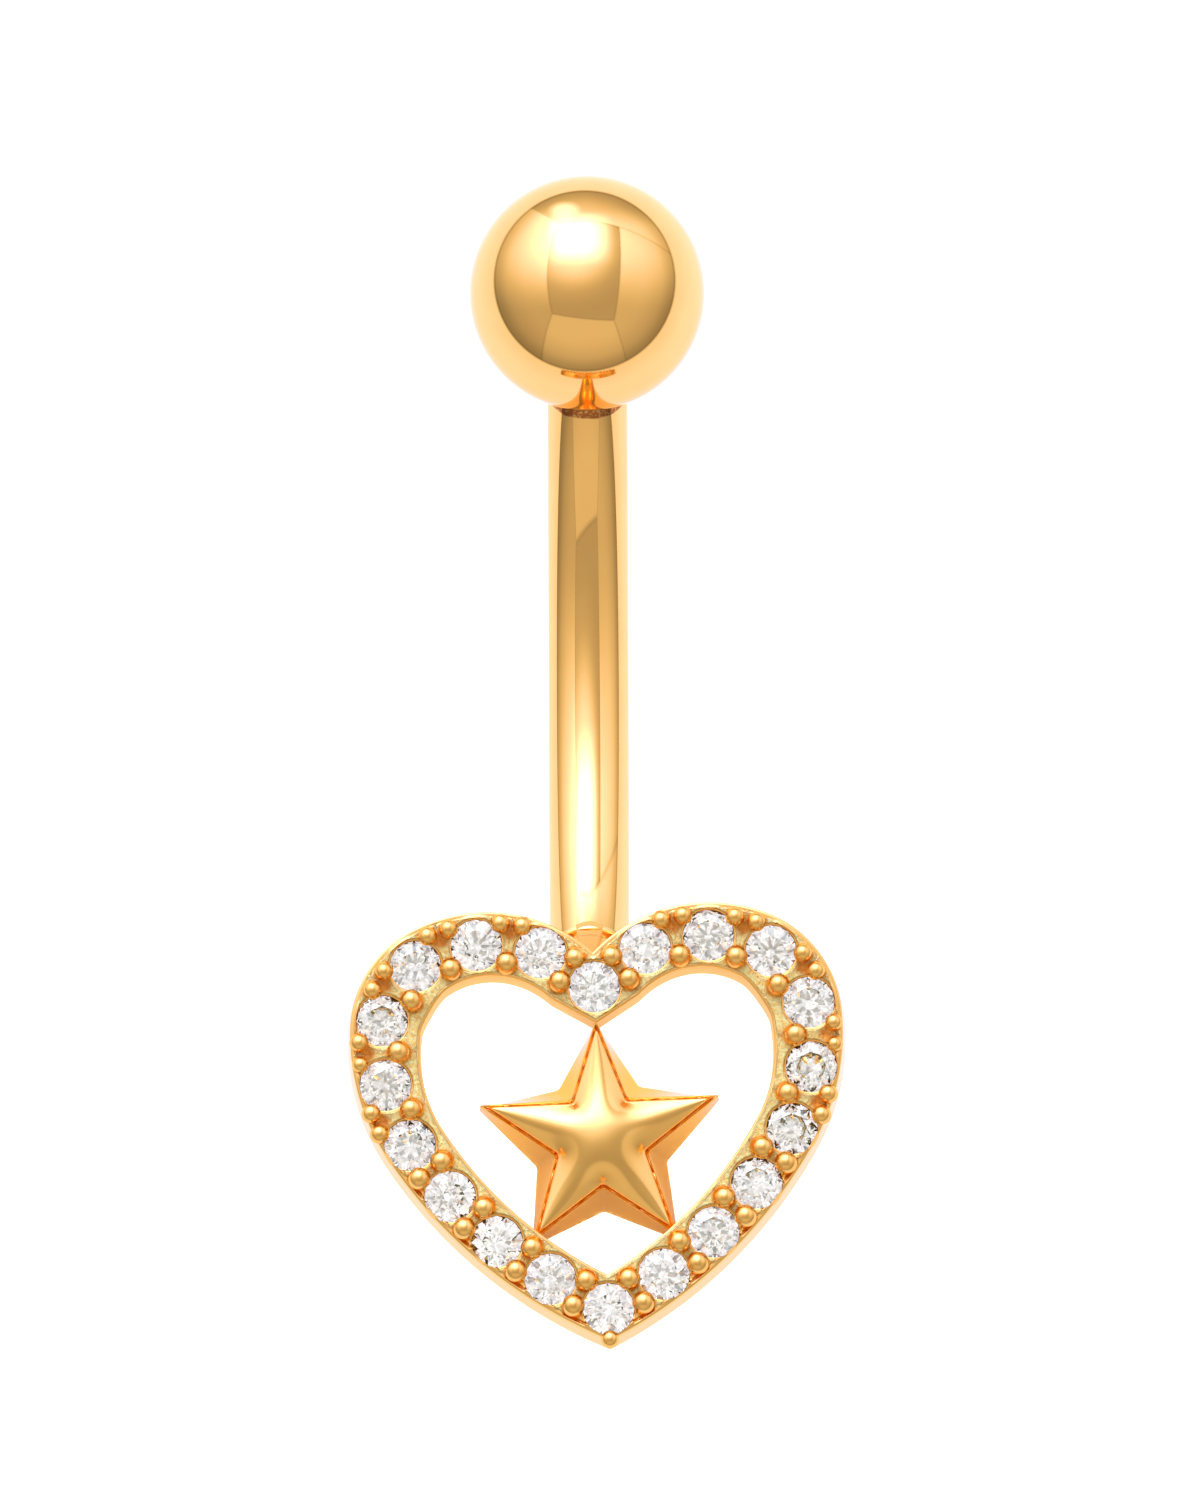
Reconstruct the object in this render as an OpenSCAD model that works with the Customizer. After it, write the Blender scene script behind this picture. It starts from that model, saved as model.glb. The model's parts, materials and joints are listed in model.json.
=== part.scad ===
// Navel ring: a curved bar with a screw-on ball and a pave heart that frames a star.
// It is drawn upright, front to -Y and long axis on Z, and then laid down the way it rests by itself.

/* [Curved bar] */
// Diameter of the bar, 14 gauge wire
bar_d = 1.63; // [1.4:0.01:2.1]
// Bend radius of the bar's centre line
bend_r = 9.65; // [8.5:0.05:14]
// Straight distance between the bar's two end faces
bar_chord = 11.45; // [9:0.05:14]

/* [Threaded end] */
// Outside diameter of the thread on the bar's upper end
stud_d = 1.2; // [0.8:0.05:1.3]
// Length of the thread
stud_len = 2.6; // [1.5:0.1:3.2]
// Chamfer on the tip of the thread
stud_chamfer = 0.15; // [0.05:0.01:0.3]

/* [Ball] */
// Diameter of the ball
ball_d = 4.75; // [4:0.05:6]
// Depth of the drilled hole beyond the tip of the thread
bore_spare = 0.3; // [0.1:0.05:0.4]
// Countersink at the mouth of the hole
bore_chamfer = 0.1; // [0.05:0.01:0.2]

/* [Heart outline] */
// Distance of each lobe's crown centre from the heart's middle line
lobe_x = 2.235; // [2:0.005:2.5]
// Radius of the crown, from the cleft over the top of a lobe
crown_r = 3.21; // [2.9:0.01:3.6]
// Radius of the shoulder, round the outer top corner of a lobe
shoulder_r = 2.32; // [1.9:0.01:2.8]
// Radius of the side, past the widest place
side_r = 4.47; // [3.6:0.01:6]
// Radius of the long flank that runs down to the point
flank_r = 9.79; // [7.5:0.01:13]
// Turn of the heart against the bar, seen from the front
heart_turn = 2.3; // [0:0.1:5]

/* [Heart band] */
// Thickness of the heart from back to front
plate_t = 1.3; // [1:0.05:1.8]
// Width of the band, before the shares in band_shares
band_w = 1.3; // [1.15:0.01:1.6]
// Height of metal on the middle line, from the notch of the cleft down to the star
cleft_web = 1.55; // [1.3:0.01:1.9]
// How much further out the back edge lies than the front edge
wall_draft = 0.08; // [0.02:0.01:0.15]
// Bright bevel along the front edges of the band
edge_bevel = 0.07; // [0.03:0.01:0.12]

/* [Stones] */
// Diameter of each round brilliant
stone_d = 1.03; // [0.85:0.01:1.15]
// Smallest width of metal between two neighbouring stones
stone_wall = 0.2; // [0.15:0.01:0.4]
// Depth of the upper edge of the girdle under the face of the band
stone_sink = 0.06; // [0.02:0.01:0.12]
// Thickness of the girdle
girdle_t = 0.04; // [0.02:0.01:0.06]
// Width of the table as a share of the stone
table_share = 0.57; // [0.5:0.01:0.65]
// Slope of the crown's main facets
crown_slope = 34.5; // [30:0.5:38]
// Slope of the pavilion's main facets
pavilion_slope = 40.8; // [38:0.2:43]
// Diameter of the open hole behind each stone
azure_d = 0.56; // [0.4:0.01:0.7]

/* [Prong beads] */
// Height of a bead's centre above the face of the band
bead_rise = 0.09; // [0.06:0.01:0.16]
// Distance of the inner beads from the row of stones
bead_in = 0.29; // [0.25:0.01:0.4]
// Distance of a single outer bead from the row of stones
bead_out = 0.27; // [0.25:0.01:0.35]
// Distance of a pair of outer beads from the row of stones
pair_out = 0.48; // [0.4:0.01:0.5]
// Half the distance between the two beads of a pair
pair_half = 0.22; // [0.18:0.01:0.25]

/* [Star] */
// Radius of the star's two free points
star_r = 2.48; // [2:0.01:2.7]
// Height of the star's centre on the heart, from the lobe centres
star_v = -1.42; // [-1.7:0.01:-1.2]
// How far the three fixed points run into the band
star_bite = 0.22; // [0.12:0.01:0.35]
// Radius of the inner corners at the foot of the skirt
skirt_r = 1.37; // [1.2:0.01:1.5]
// Radius of the inner corners along the front edge
edge_r = 0.92; // [0.8:0.01:1.1]
// Height of the star's front edge above its flat back
star_edge_h = 0.95; // [0.7:0.01:1.2]
// Height of the polished dome above the front edge
dome_h = 0.55; // [0.3:0.01:0.8]
// Width of the ledge between the skirt and the dome
ledge_w = 0.06; // [0.03:0.01:0.1]

/* [Solder joint] */
// Diameter of the solder seat behind the cleft
seat_d = 1.44; // [1.2:0.01:1.6]
// Depth of the solder seat inside the band
seat_bite = 0.45; // [0.2:0.05:0.8]
// Height of the solder seat's centre under the bar's lower end
seat_drop = 0.35; // [0.2:0.01:0.45]
// Overlap of the bar's lower end with the plane of the band's back
bar_bite = 0.11; // [0.05:0.01:0.3]
// Distance of the heart's middle line from the bar's plane
heart_x = 0.16; // [0:0.01:0.4]
// Height of the bar's lower end above the lobe centres
heart_drop = 2.41; // [2.3:0.01:2.6]

/* [Fits] */
// Radial play of the thread in the ball
thread_play = 0.05; // [0.03:0.01:0.1]
// Gap between the ball and the shoulder of the bar
shoulder_gap = 0.02; // [0.01:0.01:0.08]
// Gap round a stone in its seat
stone_gap = 0.03; // [0.02:0.005:0.05]
// Gap between a bead and the crown that it holds
bead_gap = 0.03; // [0.02:0.005:0.05]

/* [Hidden] */
$fn = 64;
bar_r = bar_d / 2;
ball_r = ball_d / 2;
half_bend = asin(bar_chord / 2 / bend_r);
// the ball has a small flat where the shoulder of the bar seats
flat_r = bar_r + shoulder_gap;
flat_h = sqrt(ball_r * ball_r - flat_r * flat_r);
bore_r = stud_d / 2 + thread_play;
bore_depth = stud_len + bore_spare;

// angles of the outward normal where one arc of the outline ends and the next begins
crown_end = 66;
shoulder_end = 4;
side_end = -31;
// about the outward normals at the cleft and at the point
cleft_normal = 134;
point_normal = -66;
arc_radii = [crown_r, shoulder_r, side_r, flank_r];
arc_ends = [crown_end, shoulder_end, side_end];
function next_centre(c, k) = c - (arc_radii[k + 1] - arc_radii[k]) * [cos(arc_ends[k]), sin(arc_ends[k])];
centre_1 = [lobe_x, 0];
centre_2 = next_centre(centre_1, 0);
centre_3 = next_centre(centre_2, 1);
centre_4 = next_centre(centre_3, 2);
arc_centres = [centre_1, centre_2, centre_3, centre_4];
// chords on each arc of half the outline
arc_steps = [10, 9, 6, 11];

// rows of [angle of the outward normal, share of band_w]
band_shares = [[-66, 0.92], [-35, 0.93], [-15, 1.03], [0, 1.1], [22, 1.17], [45, 1.18], [66, 1.08], [90, 0.98],
               [134, 0.98]];
// rows of [angle of the outward normal, share of the band's width there that lies outside the row of stones]
row_shares = [[-66, 0.48], [-50, 0.44], [-31, 0.42], [0, 0.42], [55, 0.44], [88, 0.52], [118, 0.46],
              [134, 0.36]];
// part of the way from the cleft to the point over which the outer beads stand in pairs
pair_span = [0.1, 0.6];

function arc_of(a) = a > crown_end ? 0 : a > shoulder_end ? 1 : a > side_end ? 2 : 3;
function edge_point(a, inset) = arc_centres[arc_of(a)] + (arc_radii[arc_of(a)] - inset) * [cos(a), sin(a)];
function cleft_angle(inset) = acos(-lobe_x / (crown_r - inset));
function tip_angle(inset) = -acos(-centre_4[0] / (flank_r - inset));
function band_at(a) = band_w * lookup(a, band_shares);

// angles of the stations from a_top to a_tip, less `skip` of the crown's
function stations(a_top, a_tip, skip) =
    let (ends = [a_top, crown_end, shoulder_end, side_end, a_tip])
    concat(
        [for (k = [0:3]) let (n = arc_steps[k] - (k == 0 ? skip : 0)) for (i = [0:n - 1])
            ends[k] + (ends[k + 1] - ends[k]) * i / n],
        [a_tip]);

// right half of a line parallel to the outer edge, from the cleft to the point
function outer_half(inset) =
    [for (a = stations(cleft_angle(inset), tip_angle(inset), 0)) edge_point(a, inset)];

// right half of the inner edge, moved into the metal by `back`
cleft_v = crown_r * sin(cleft_angle(0));
web_v = cleft_v - cleft_web;
function inner_half(back) =
    let (tip_a = tip_angle(band_at(point_normal) - back))
    concat([[0, web_v + back]],
        [for (a = stations(cleft_angle(0), tip_a, 1)) edge_point(a, band_at(a) - back)]);

function mirrored(half) = concat(half, [for (i = [len(half) - 2:-1:1]) [-half[i][0], half[i][1]]]);
function at_height(points, z) = [for (p = points) [p[0], p[1], z]];

// faces of a skin over equal rings, each ring clockwise seen from above and the last joined to the first
function skin_faces(rings, n) = [
    for (r = [0:rings - 1]) for (i = [0:n - 1])
        let (a = r * n, b = ((r + 1) % rings) * n, j = (i + 1) % n)
        for (t = [[a + i, a + j, b + j], [a + i, b + j, b + i]]) t];

// the row of stones
stone_r = stone_d / 2;
table_r = stone_r * table_share;
crown_h = (stone_r - table_r) * tan(crown_slope);
pavilion_h = stone_r * tan(pavilion_slope);
girdle_z = plate_t - stone_sink;
function row_inset(a) = band_at(a) * lookup(a, row_shares);
row_top = cleft_angle(row_inset(cleft_normal));
row_tip = tip_angle(row_inset(point_normal));
row_line = [for (a = stations(row_top, row_tip, 0)) edge_point(a, row_inset(a))];
row_steps = [for (i = [1:len(row_line) - 1]) norm(row_line[i] - row_line[i - 1])];
row_runs = [for (i = 0, s = 0; i < len(row_line); s = s + (i < len(row_steps) ? row_steps[i] : 0), i = i + 1) s];
row_len = row_runs[len(row_runs) - 1];
// gaps between stones on each side; the first and the last stone stand on the middle line
gaps = floor(row_len / (stone_d + stone_wall));
stone_count = 2 * gaps;
function point_on_row(s) = [lookup(s, [for (i = [0:len(row_line) - 1]) [row_runs[i], row_line[i][0]]]),
                            lookup(s, [for (i = [0:len(row_line) - 1]) [row_runs[i], row_line[i][1]]])];
right_stones = [for (i = [0:gaps]) let (p = point_on_row(row_len * i / gaps)) i % gaps == 0 ? [0, p[1]] : p];
// every stone, clockwise from the cleft
stones = concat(right_stones, [for (i = [gaps - 1:-1:1]) [-right_stones[i][0], right_stones[i][1]]]);

function unit(v) = v / norm(v);
function outward(k) = let (t = unit(right_stones[k + 1] - right_stones[k])) [-t[1], t[0]];
function middle(k) = (right_stones[k + 1] + right_stones[k]) / 2;
function along(k) = unit(right_stones[k + 1] - right_stones[k]);
function is_pair(k) = (k + 0.5) / gaps > pair_span[0] && (k + 0.5) / gaps < pair_span[1];
// distance of the bead at the point from the crown that it holds
tip_bead_out = 0.1;
// beads of the right side, as [x, y]
right_beads = concat(
    [for (k = [0:gaps - 1]) middle(k) - bead_in * outward(k)],
    [for (k = [0:gaps - 1]) if (!is_pair(k)) middle(k) + bead_out * outward(k)],
    [for (k = [0:gaps - 1]) if (is_pair(k)) for (side = [-1, 1])
        middle(k) + pair_out * outward(k) + side * pair_half * along(k)]);
tip_bead = [0, right_stones[gaps][1] - stone_r - bead_gap - tip_bead_out];
beads = concat(right_beads, [for (b = right_beads) [-b[0], b[1]]], [tip_bead]);
// a bead's head just clears the crown of the nearest stone, and its post clears the stone's seat
function stone_near(b) = min([for (s = stones) norm(s - b)]);
bead_z = plate_t + bead_rise;
function head_r(b) =
    (stone_near(b) - stone_r) * sin(crown_slope) + (bead_rise + stone_sink) * cos(crown_slope) - bead_gap;
function post_r(b) = stone_near(b) - stone_r - stone_gap - post_wall;
// metal left between a post and the stone's seat, and how deep a post stands in the band
post_wall = 0.02;
post_depth = 0.4;

// the star's two lower points meet the flank where its outward normal is about here
meeting_angle = -40;
// distance from the star's centre to the flank's inner edge along dir
function flank_reach(dir) =
    let (d = [0, star_v] - centre_4, b = d * dir, c = d * d - pow(flank_r - band_at(meeting_angle), 2))
    -b + sqrt(b * b - c);
point_step = 360 / 5;
low_angle = 90 - 2 * point_step;
// the top point and the two lower ones reach into the band, the two others stand free
top_reach = web_v - star_v + star_bite;
low_reach = flank_reach([cos(low_angle), sin(low_angle)]) + star_bite;
star_points = [top_reach, star_r, low_reach, low_reach, star_r];
// cuts along each straight edge of the star
edge_cuts = 4;
// one level of the star, with its points drawn in by `inset` and its inner corners at radius r
function star_ring(inset, r) = [
    for (k = [0:4])
        let (a = 90 - point_step * k,
             tip = (star_points[k] - inset) * [cos(a), sin(a)],
             low = r * [cos(a - point_step / 2), sin(a - point_step / 2)],
             b = a - point_step,
             tip_2 = (star_points[(k + 1) % 5] - inset) * [cos(b), sin(b)])
        for (e = [[tip, low], [low, tip_2]]) for (i = [0:edge_cuts - 1])
            e[0] + (e[1] - e[0]) * i / edge_cuts];
// an edge that moves in by 1 draws a sharp point in by about this much
point_draw = 3;
// rows of [part of the way from the dome's edge to its middle, share of dome_h reached there]
dome_rows = [[0, 0], [0.12, 0.2], [0.3, 0.47], [0.55, 0.76], [0.8, 0.95]];

// where things lie on the upright jewel
upper_end = [0, 0, bar_chord / 2];
lower_end = [0, 0, -bar_chord / 2];
ball_axis = [0, -sin(half_bend), cos(half_bend)];
ball_centre = upper_end + (flat_h + shoulder_gap) * ball_axis;
bend_centre = [0, -bend_r * cos(half_bend), 0];
// the most forward edge of the bar's lower end meets the back of the band
plate_back = -bar_r * cos(half_bend) + bar_bite;
heart_at = [heart_x, plate_back, lower_end[2] - heart_drop];

// the pose at rest: ball, belly of the bar and back edge of the heart touch one plane
function on_heart(p) = heart_at + [p[0] * cos(heart_turn) - p[1] * sin(heart_turn), -p[2],
                                   p[0] * sin(heart_turn) + p[1] * cos(heart_turn)];
outer_back = mirrored(outer_half(-wall_draft));
outer_front = mirrored(outer_half(0));
back_points = [for (p = outer_back) on_heart([p[0], p[1], 0])];
front_points = [for (p = outer_front) on_heart([p[0], p[1], plate_t - edge_bevel])];
heart_points = concat(back_points, front_points);
function limit(x, low, high) = min(max(x, low), high);
function bar_point(a) = bend_centre + bend_r * [0, cos(a), sin(a)];
// the point of the bar's centre line that lies furthest along d
function bar_far(d) = bar_point(limit(atan2(d[2], d[1]), -half_bend, half_bend));
function furthest(points, d) = let (h = [for (p = points) p * d], m = max(h)) points[search(m, h)[0]];
// unit normal of the plane that touches the ball, the point p and the bar round c, on the same side as n
function touch_plane(n, p, c) =
    let (u = ball_centre - p, v = c - p,
         w = cross(u, v), m = w * w,
         n0 = (ball_r * cross(w, v) - bar_r * cross(w, u)) / m)
    let (s = sqrt((1 - n0 * n0) / m), a = n0 + s * w, b = n0 - s * w) a * n > b * n ? a : b;
function settle(n, k) = k == 0 ? n : settle(touch_plane(n, furthest(back_points, n), bar_far(n)), k - 1);
down = settle(unit([0.7, 0.7, 0.1]), 12);
// the upright jewel is tipped on its back, rolled and pitched until `down` points to the ground
rest_roll = atan2(down[0], down[1]);
rest_pitch = -atan2(down[2], norm([down[0], down[1]]));
function laid(p) =
    let (q = [p[0], p[2], -p[1]],
         r = [q[0] * cos(rest_roll) + q[2] * sin(rest_roll), q[1],
              -q[0] * sin(rest_roll) + q[2] * cos(rest_roll)])
    [r[0], r[1] * cos(rest_pitch) - r[2] * sin(rest_pitch), r[1] * sin(rest_pitch) + r[2] * cos(rest_pitch)];
laid_points = [for (p = heart_points) laid(p)];
bar_cuts = 48;
laid_bar = [for (i = [0:bar_cuts]) laid(bar_point(half_bend * (2 * i / bar_cuts - 1)))];
laid_ball = laid(ball_centre);
laid_beads = [for (b = beads) laid(on_heart([b[0], b[1], bead_z]))];
head_radii = [for (b = beads) head_r(b)];
// lowest and highest coordinate of the laid jewel on one axis
function low_of(i) = min(concat(
    [for (p = laid_points) p[i]], [laid_ball[i] - ball_r], [for (p = laid_bar) p[i] - bar_r],
    [for (k = [0:len(beads) - 1]) laid_beads[k][i] - head_radii[k]]));
function high_of(i) = max(concat(
    [for (p = laid_points) p[i]], [laid_ball[i] + ball_r], [for (p = laid_bar) p[i] + bar_r],
    [for (k = [0:len(beads) - 1]) laid_beads[k][i] + head_radii[k]]));
ground = [(low_of(0) + high_of(0)) / 2, (low_of(1) + high_of(1)) / 2, laid_ball[2] - ball_r];

gold = [0.93, 0.70, 0.36];
pale_gold = [0.97, 0.80, 0.48];
clear_stone = [0.93, 0.95, 0.97];
cut = 0.05;

module at_rest() {
    translate(-ground) rotate([rest_pitch, 0, 0]) rotate([0, rest_roll, 0]) rotate([-90, 0, 0]) children();
}

module on_upper_end() {
    translate(upper_end) rotate([half_bend, 0, 0]) children();
}

module on_heart_plane() {
    translate(heart_at) rotate([90, 0, 0]) rotate([0, 0, heart_turn]) children();
}

module curved_bar() {
    translate(bend_centre) rotate([90, 0, 90]) rotate([0, 0, -half_bend])
        rotate_extrude(angle = 2 * half_bend) translate([bend_r, 0]) circle(r = bar_r);
}

module threaded_stud() {
    on_upper_end() rotate_extrude()
        polygon([[0, -stud_chamfer], [stud_d / 2, -stud_chamfer], [stud_d / 2, stud_len - stud_chamfer],
                 [stud_d / 2 - stud_chamfer, stud_len], [0, stud_len]]);
}

module solder_seat() {
    translate([0, plate_back - seat_bite, lower_end[2] - seat_drop]) rotate([-90, 0, 0])
        cylinder(d = seat_d, h = seat_bite - plate_back);
}

module heart_band() {
    rings = [
        at_height(outer_back, 0),
        at_height(outer_front, plate_t - edge_bevel),
        at_height(mirrored(outer_half(edge_bevel)), plate_t),
        at_height(mirrored(inner_half(edge_bevel)), plate_t),
        at_height(mirrored(inner_half(0)), plate_t - edge_bevel),
        at_height(mirrored(inner_half(0)), 0)];
    polyhedron([for (r = rings) each r], skin_faces(len(rings), len(rings[0])), convexity = 6);
}

// the drilled seat of one stone, with its open back
module stone_seat() {
    seat_r = stone_r + stone_gap;
    low_z = girdle_z - girdle_t - stone_gap;
    azure_r = azure_d / 2;
    rotate_extrude()
        polygon([[0, -cut], [azure_r, -cut], [azure_r, low_z - (seat_r - azure_r) * tan(pavilion_slope)],
                 [seat_r, low_z], [seat_r, plate_t + cut], [0, plate_t + cut]]);
}

module prong_bead(b) {
    translate([b[0], b[1], bead_z]) {
        sphere(r = head_r(b));
        translate([0, 0, -bead_rise - post_depth]) cylinder(r = post_r(b), h = bead_rise + post_depth);
    }
}

module star() {
    dome_edge = star_edge_h + ledge_w;
    dome_ring = star_ring((point_draw + 1) * ledge_w, edge_r - ledge_w);
    levels = concat(
        [[star_ring(0, skirt_r), 0],
         [star_ring(0, edge_r + ledge_w), star_edge_h],
         [star_ring(point_draw * ledge_w, edge_r), star_edge_h]],
        [for (row = dome_rows) [(1 - row[0]) * dome_ring, dome_edge + dome_h * row[1]]]);
    n = len(levels[0][0]);
    last = len(levels) * n;
    points = concat([for (l = levels) each at_height(l[0], l[1])], [[0, 0, 0], [0, 0, dome_edge + dome_h]]);
    walls = [for (r = [0:len(levels) - 2]) for (i = [0:n - 1])
        let (a = r * n, b = a + n, j = (i + 1) % n)
        for (t = [[a + i, a + j, b + j], [a + i, b + j, b + i]]) t];
    back = [for (i = [0:n - 1]) [last, (i + 1) % n, i]];
    top = [for (i = [0:n - 1]) [last + 1, last - n + i, last - n + (i + 1) % n]];
    translate([0, star_v, 0]) polyhedron(points, concat(walls, back, top), convexity = 6);
}

// one round brilliant, its girdle's upper edge at z = 0
module brilliant() {
    sides = 16;
    half_step = 360 / sides;
    // the star facets' outer corners and the lower halves' inner ones
    star_mid = stone_r * 0.76;
    low_mid = stone_r * 0.24;
    ring = function (r, z, n, a0)
        [for (i = [0:n - 1]) let (a = a0 - i * 360 / n) [r * cos(a), r * sin(a), z]];
    points = concat(
        ring(table_r, crown_h, 8, 0),
        ring(star_mid, (stone_r - star_mid * cos(half_step)) * tan(crown_slope), 8, -half_step),
        ring(stone_r, 0, sides, 0),
        ring(stone_r, -girdle_t, sides, 0),
        ring(low_mid, -girdle_t - (stone_r - low_mid * cos(half_step)) * tan(pavilion_slope), 8, -half_step),
        [[0, 0, -girdle_t - pavilion_h]]);
    // first point of each ring: table, star, girdle top, girdle bottom, lower halves, culet
    T = 0; S = 8; G = 16; B = 32; L = 48; C = 56;
    faces = concat(
        [[for (i = [0:7]) T + i]],
        [for (i = [0:7]) [T + i, S + i, T + (i + 1) % 8]],
        [for (i = [0:7]) for (f = [[T + i, S + (i + 7) % 8, G + 2 * i], [T + i, G + 2 * i, S + i]]) f],
        [for (i = [0:7]) let (g = G + 2 * i, h = G + (2 * i + 2) % 16)
            for (f = [[S + i, g, g + 1], [S + i, g + 1, h]]) f],
        [for (i = [0:15]) let (j = (i + 1) % 16) for (f = [[G + i, B + i, B + j], [G + i, B + j, G + j]]) f],
        [for (i = [0:7]) let (b = B + 2 * i, h = B + (2 * i + 2) % 16)
            for (f = [[L + i, b + 1, b], [L + i, h, b + 1]]) f],
        [for (i = [0:7]) for (f = [[C, B + 2 * i, L + (i + 7) % 8], [C, L + i, B + 2 * i]]) f]);
    polyhedron(points, faces, convexity = 2);
}

module bar_with_heart() {
    color(gold) at_rest() {
        curved_bar();
        threaded_stud();
        solder_seat();
        on_heart_plane() {
            difference() {
                union() {
                    heart_band();
                    star();
                }
                for (s = stones) translate([s[0], s[1], 0]) stone_seat();
            }
            for (b = beads) prong_bead(b);
        }
    }
}

module ball() {
    color(pale_gold) at_rest() on_upper_end() translate([0, 0, shoulder_gap + flat_h]) difference() {
        sphere(r = ball_r);
        translate([0, 0, -ball_r - cut]) cylinder(r = ball_r, h = ball_r + cut - flat_h);
        translate([0, 0, -flat_h - cut]) cylinder(r = bore_r, h = bore_depth + cut);
        translate([0, 0, -flat_h - cut])
            cylinder(r1 = bore_r + bore_chamfer + cut, r2 = bore_r, h = bore_chamfer + cut);
    }
}

module stone(i) {
    color(clear_stone) at_rest() on_heart_plane()
        translate([stones[i][0], stones[i][1], girdle_z]) brilliant();
}

function stone_name(i) = str("stone_", i < 9 ? "0" : "", i + 1);
bar_with_heart();
ball();
for (i = [0:stone_count - 1]) {
    stone(i);
}
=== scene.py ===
"""A navel ring on a pale floor: a curved bar with a screw-on ball, and a heart of stones round a star."""

import json
import logging
from dataclasses import dataclass, field
from enum import Enum
from typing import Callable

import bmesh
import bpy
import numpy as np
from mathutils import Matrix, Vector


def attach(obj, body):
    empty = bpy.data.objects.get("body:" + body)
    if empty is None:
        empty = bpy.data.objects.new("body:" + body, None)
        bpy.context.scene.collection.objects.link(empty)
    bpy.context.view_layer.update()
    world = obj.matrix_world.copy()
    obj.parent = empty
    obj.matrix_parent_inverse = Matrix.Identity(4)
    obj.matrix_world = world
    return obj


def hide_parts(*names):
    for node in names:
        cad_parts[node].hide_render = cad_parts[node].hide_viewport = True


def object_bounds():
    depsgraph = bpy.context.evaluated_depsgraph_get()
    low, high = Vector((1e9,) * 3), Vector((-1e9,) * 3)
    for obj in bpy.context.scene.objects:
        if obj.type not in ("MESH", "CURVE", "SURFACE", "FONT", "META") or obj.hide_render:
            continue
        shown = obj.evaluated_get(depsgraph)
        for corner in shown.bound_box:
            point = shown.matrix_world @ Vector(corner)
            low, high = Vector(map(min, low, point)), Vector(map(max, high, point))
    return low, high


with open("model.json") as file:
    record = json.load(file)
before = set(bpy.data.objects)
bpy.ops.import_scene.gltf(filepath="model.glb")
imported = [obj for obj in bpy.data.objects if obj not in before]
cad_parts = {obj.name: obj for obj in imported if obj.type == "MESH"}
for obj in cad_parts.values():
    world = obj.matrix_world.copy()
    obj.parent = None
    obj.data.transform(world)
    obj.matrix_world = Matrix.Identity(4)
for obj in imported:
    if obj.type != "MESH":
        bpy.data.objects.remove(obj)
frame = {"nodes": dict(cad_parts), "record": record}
cad_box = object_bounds()

MM = 0.001
MERGE_DISTANCE = 2e-7
CRISP_BEND = 38.0
SOFT_BEND = 60.0
PHOTO_SIZE = (1200, 1500)
log = logging.getLogger("navel_ring")

Array = np.ndarray
Colour = tuple[float, float, float]
SIDEWAYS = np.array([1.0, 0.0, 0.0])


class Body(Enum):
    """The rigid bodies that the pieces move with."""

    BAR = "bar"
    BALL = "ball"


class Slot(Enum):
    """The record's material slots."""

    GOLD = "gold"
    STONE = "clear_stone"


def smooth(low: float, high: float, x: Array) -> Array:
    """Rises from 0 at `low` to 1 at `high` with level ends.

    Args:
        low: Where the rise starts.
        high: Where it ends.
        x: Values to look up.

    Returns:
        3t^2 - 2t^3 of the clipped way t from low to high.
    """
    t = np.clip((x - low) / (high - low), 0, 1)
    return t * t * (3 - 2 * t)


def unit(vectors: Array) -> Array:
    """Returns the vectors scaled to length 1 along their last axis."""
    return vectors / np.linalg.norm(vectors, axis=-1, keepdims=True)


def polar(radius: Array, angle: Array) -> Array:
    """Returns points (radius cos angle, radius sin angle), with the angle in radians."""
    return np.stack([radius * np.cos(angle), radius * np.sin(angle)], axis=-1)


def lift(points: Array, height: Array) -> Array:
    """Adds a height to points of a plane.

    Args:
        points: Points of the plane, shaped (..., 2).
        height: One height, or one for each point.

    Returns:
        Points shaped (..., 3).
    """
    level = np.broadcast_to(height, points.shape[:-1])
    return np.concatenate([points, level[..., None]], axis=-1)


def full_turn(count: int) -> Array:
    """Returns angles in radians, evenly spaced over one turn."""
    return np.linspace(0, 2 * np.pi, count, endpoint=False)


def ring_round(turn: Array, across: Array) -> Array:
    """Returns the circle x cos(turn) + across sin(turn), with x sideways."""
    return np.cos(turn)[:, None] * SIDEWAYS + np.sin(turn)[:, None] * across


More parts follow.
